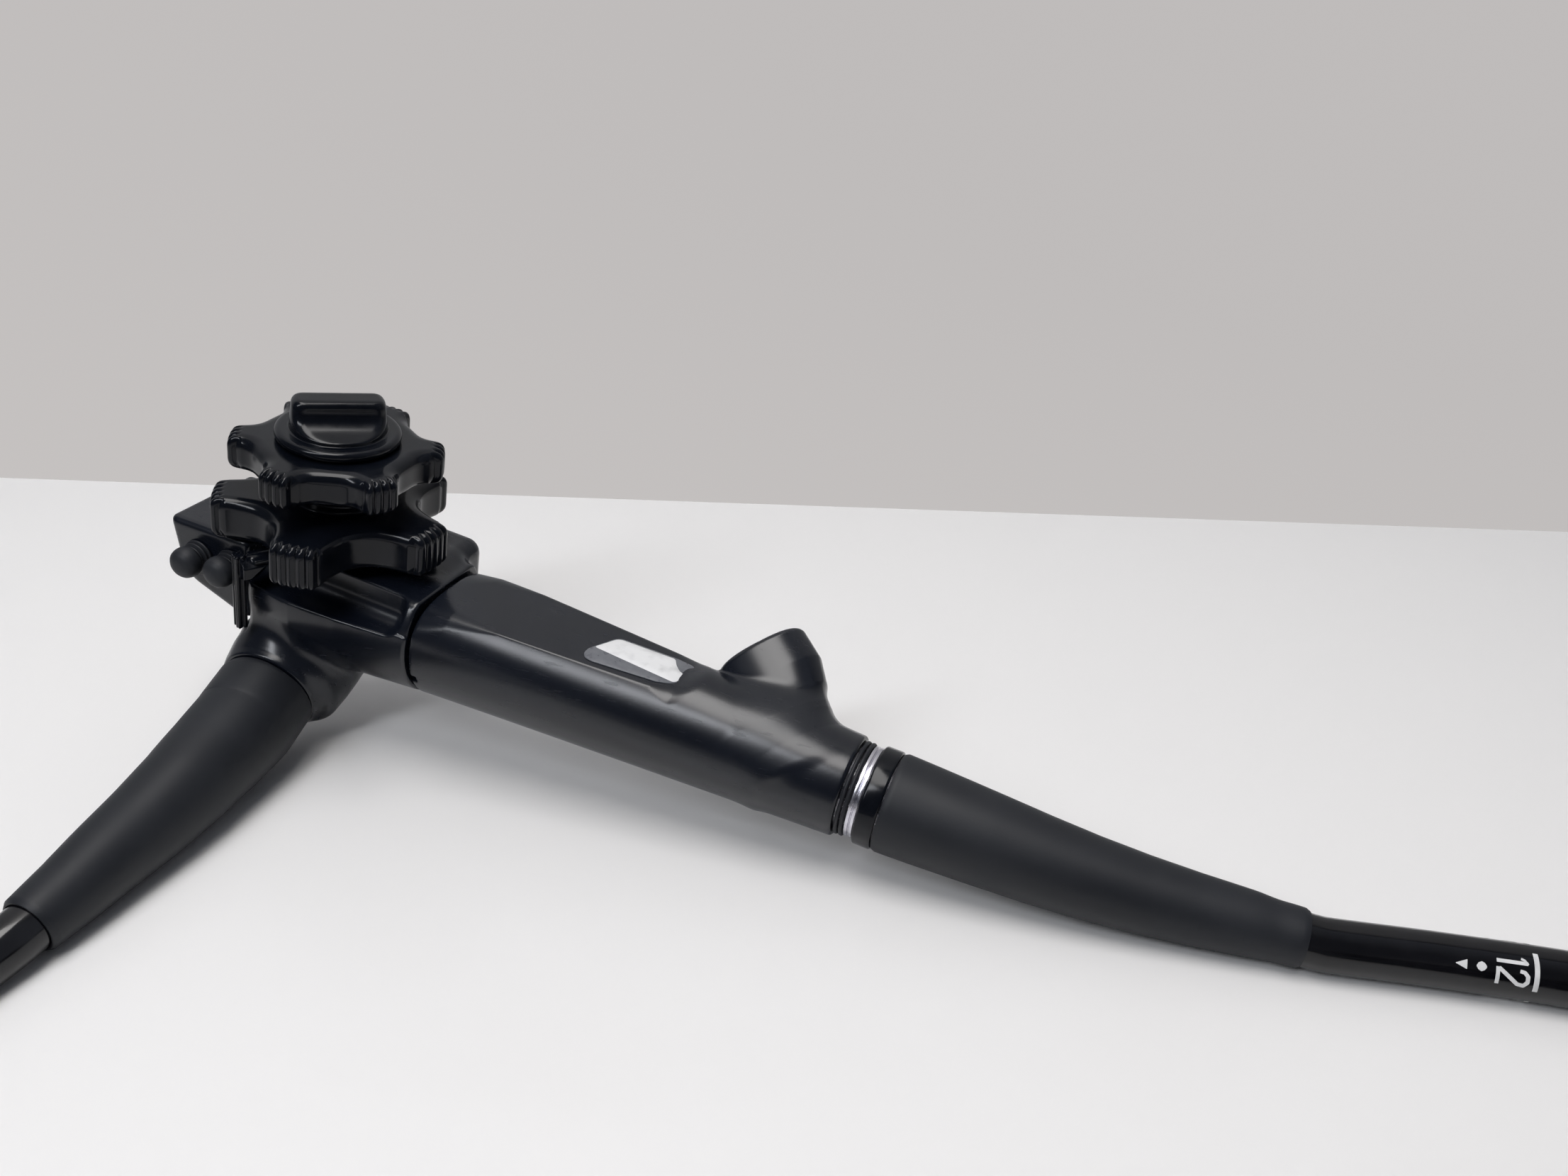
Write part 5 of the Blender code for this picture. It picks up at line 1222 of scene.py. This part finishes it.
def build_connector(plastic, rubber, metal):
    """Plug of the umbilical cable, with its prong, pipe, contact and side ports."""
    half = 0.5 * PLUG_LENGTH
    radius = PLUG_RADIUS
    profile = [
        (0.0, -half), (13.5, -half), (radius - 4.0, -half + 8.0), (radius, -half + 22.0),
        (radius, half - 9.0), (radius - 3.5, half - 7.0), (radius - 3.5, half - 1.0),
        (radius - 5.0, half), (0.0, half),
    ]
    pieces = []

    def add(name, profile, centre, axis, finish, node, steps=64, edge=0.4):
        piece = turned_piece(
            name, profile, centre, axis, "control_section", finish, [node], steps, edge, from_bench
        )
        pieces.append(piece)

    add("plug_housing", profile, PLUG_AT, PLUG_HEADING, plastic, "connector_housing", 96, 2.0)
    front = PLUG_AT + PLUG_HEADING * half
    prong = [
        (0.0, 0.3), (6.4, 0.3), (6.4, 3.4), (4.6, 4.0), (4.6, 22.5), (3.8, 24.0), (3.8, 30.4),
        (3.4, 31.0), (0.0, 31.0),
    ]
    add("guide_prong", prong, front - UP * 5.0, PLUG_HEADING, metal, "light_guide_prong")
    pipe = [(1.1, 0.3), (2.1, 0.3), (2.1, 12.4), (1.9, 13.0), (1.1, 13.0)]
    pipe_at = front + PLUG_SIDE * 8.0 + UP * 5.5
    add("plug_air_pipe", pipe, pipe_at, PLUG_HEADING, metal, "air_pipe", 40, 0.15)
    contact = [(0.0, 0.3), (5.0, 0.3), (5.0, 8.5), (4.6, 9.0), (0.0, 9.0)]
    contact_at = front - PLUG_SIDE * 6.5 + UP * 7.0
    add("plug_contact", contact, contact_at, PLUG_HEADING, metal, "contact_plug", 48, 0.3)
    nipple = [
        (1.6, 0.3), (4.6, 0.3), (4.6, 2.2), (2.8, 2.4), (2.8, 9.8), (3.4, 10.6), (2.6, 12.0),
        (1.6, 12.0),
    ]
    out = PLUG_SIDE * math.cos(math.radians(30.0)) + UP * math.sin(math.radians(30.0))
    for node, along in (("suction_nipple", 8.0), ("water_port", -8.0)):
        seat = PLUG_AT + PLUG_HEADING * along + out * (radius - 0.6)
        add(f"plug_{node}", nipple, seat, out, metal, node, 40, 0.2)

    def outer(share, angle):
        return 12.2 - 4.6 * share**1.2

    boot = boot_piece(
        "plug_sleeve", plug_boot_path(), outer, CABLE_RADIUS + 0.2, -PLUG_HEADING, rubber,
        "connector_boot", from_bench,
    )
    return [*pieces, boot]


# Bench, light and camera


def backdrop(name, size, place, tilt, finish):
    """Plane of the stage, tilted up from the bench and turned with it."""
    bpy.ops.mesh.primitive_plane_add(size=1.0)
    plane = bpy.context.object
    plane.name = name
    plane.scale = size
    plane.location = place
    plane.rotation_euler = (math.radians(tilt), 0.0, math.radians(BENCH_TURN))
    plane.data.materials.append(finish.material)


def build_stage():
    """White bench with faint smudges and painted shade away from the object, and a pale wall behind it."""
    bench_finish = Finish("bench_top", (0.84, 0.83, 0.82), 0.3)
    smudge = bench_finish.remap(bench_finish.noise(9.0, 4.0), 0.58, 0.72)
    pale = bench_finish.blend(smudge, (0.85, 0.84, 0.83), (0.80, 0.785, 0.77))
    # painted shade: out of the camera's sight and away from the object the bench is near-black for bounced light
    bench_finish.colour(bench_finish.blend(near_or_seen(bench_finish), (0.10, 0.10, 0.11), pale))
    wall_finish = Finish("wall", (0.78, 0.77, 0.76), 0.8)
    show_to_camera(wall_finish, (0.60, 0.575, 0.565), (0.52, 0.50, 0.495))
    backdrop("bench", BENCH_SIZE, BENCH_AT, 0.0, bench_finish)
    backdrop("wall", WALL_SIZE, WALL_AT, 90.0, wall_finish)


def near_or_seen(finish):
    """Share of the bench's own colour: one in the camera's sight and near the object.

    It falls to zero far from the object, where the bench is painted near-black for all
    light that bounces off it: painted shade that stands in for a dim room round a bench.
    """
    mapping = finish.tree.nodes.new("ShaderNodeMapping")
    mapping.inputs["Scale"].default_value = BENCH_SIZE
    mapping.inputs["Location"].default_value = OBJECT_TO_BENCH
    finish.link(finish.place, mapping.inputs["Vector"])
    length = finish.tree.nodes.new("ShaderNodeVectorMath")
    length.operation = "LENGTH"
    finish.link(mapping.outputs["Vector"], length.inputs[0])
    near = finish.remap(length.outputs["Value"], *NEAR_OBJECT, 1.0, 0.0)
    rays = finish.tree.nodes.new("ShaderNodeLightPath")
    return finish.combine(near, rays.outputs["Is Camera Ray"], "MAXIMUM")


def show_to_camera(finish, pale, dull):
    """Let a backdrop show the camera its own colour, faintly smudged, whatever light falls on it."""
    tree = finish.tree
    glow = tree.nodes.new("ShaderNodeEmission")
    smudge = finish.remap(finish.noise(3.0, 2.0), 0.35, 0.65)
    finish.link(finish.blend(smudge, pale, dull), glow.inputs["Color"])
    rays = tree.nodes.new("ShaderNodeLightPath")
    mix = tree.nodes.new("ShaderNodeMixShader")
    finish.link(rays.outputs["Is Camera Ray"], mix.inputs["Fac"])
    finish.link(finish.shader.outputs["BSDF"], mix.inputs[1])
    finish.link(glow.outputs["Emission"], mix.inputs[2])
    finish.link(mix.outputs["Shader"], tree.nodes["Material Output"].inputs["Surface"])


def area_light(name, location, target, size, power, tint, roll=0.0):
    """Rectangular lamp that faces its target, rolled about that direction by some degrees."""
    data = bpy.data.lights.new(name, "AREA")
    data.shape = "RECTANGLE"
    data.size, data.size_y = size
    data.energy = power
    data.color = tint
    lamp = bpy.data.objects.new(name, data)
    lamp.location = location
    aim = (Vector(target) - Vector(location)).to_track_quat("-Z", "Y")
    lamp.rotation_euler = (aim @ Quaternion((0.0, 0.0, 1.0), math.radians(roll))).to_euler()
    bpy.context.collection.objects.link(lamp)


def build_light():
    """A large lamp overhead, a narrow one in front that glints along the grip, and the room.

    The room is darkest behind the camera and brightest behind the wall.
    """
    area_light(
        "overhead", location=(-0.14, 0.03, 1.5), target=(0.02, 0.12, 0.0), size=(1.5, 0.6),
        power=19.5, tint=(1.0, 0.98, 0.965),
    )
    area_light(
        "key", location=(-0.23, -0.85, 0.95), target=(-0.03, 0.03, 0.05), size=(0.8, 0.2),
        power=5.8, tint=(0.92, 0.95, 1.0), roll=56.0,
    )
    world = bpy.data.worlds.new("room")
    world.use_nodes = True
    tree = world.node_tree
    background = tree.nodes["Background"]
    background.inputs["Color"].default_value = (0.82, 0.87, 1.0, 1.0)
    place = tree.nodes.new("ShaderNodeTexCoord")
    split = tree.nodes.new("ShaderNodeSeparateXYZ")
    tree.links.new(place.outputs["Generated"], split.inputs["Vector"])
    shade = tree.nodes.new("ShaderNodeMapRange")
    for socket, value in (("From Min", -0.4), ("From Max", 0.7), ("To Min", 0.08), ("To Max", 0.5)):
        shade.inputs[socket].default_value = value
    tree.links.new(split.outputs["Y"], shade.inputs["Value"])
    tree.links.new(shade.outputs["Result"], background.inputs["Strength"])
    bpy.context.scene.world = world


def build_camera():
    """The photograph's camera."""
    data = bpy.data.cameras.new("camera")
    data.lens = CAMERA_LENS
    data.sensor_width = CAMERA_SENSOR
    camera = bpy.data.objects.new("camera", data)
    camera.location = from_bench(CAMERA_AT)
    camera.rotation_euler = [math.radians(angle) for angle in CAMERA_TURN]
    bpy.context.collection.objects.link(camera)
    bpy.context.scene.camera = camera


def dress_nodes(finishes):
    """Give every node that still shows the finish of its material slot."""
    slots = {part["node"]: part["material_slot"] for part in frame["record"]["subparts"]}
    for name, node in frame["nodes"].items():
        node.data.materials.clear()
        node.data.materials.append(finishes[slots[name]])


def main():
    """Finishes, stage, cords, and then the control section's pieces."""
    bpy.context.scene.view_settings.view_transform = "Standard"
    paint = mark_paint()
    finishes = {
        "shell_plastic": moulded_plastic(),
        "knob_plastic": knob_plastic(),
        "soft_rubber": soft_rubber(),
        "tube_polymer": tube_polymer(),
        "bright_metal": bright_metal(),
        "label_stock": label_stock(),
    }
    plastic = finishes["shell_plastic"]
    knob = finishes["knob_plastic"]
    rubber = finishes["soft_rubber"]
    polymer = finishes["tube_polymer"]
    metal = finishes["bright_metal"]
    dress_nodes(finishes)
    build_camera()
    build_stage()
    build_light()
    tube, tube_path = build_insertion_tube(polymer)
    cable, cable_path = build_umbilical_cable(polymer)
    plug = build_connector(plastic, rubber, metal)
    nodes = frame["nodes"]
    bending_end = [nodes[name] for name in nodes if name.startswith(("vertebra", "bend_base"))]
    bending_end += [nodes["distal_tip"], nodes["elevator"]]
    build_depth_marks(tube_path, paint)
    build_housings(plastic)
    build_label(finishes["label_stock"], paint)
    build_wheels(knob)
    build_controls(knob)
    build_switches(rubber)
    build_port(metal)
    build_valve_cylinders(metal)
    build_end_rings(knob, rubber, metal)
    build_boots(rubber)


main()
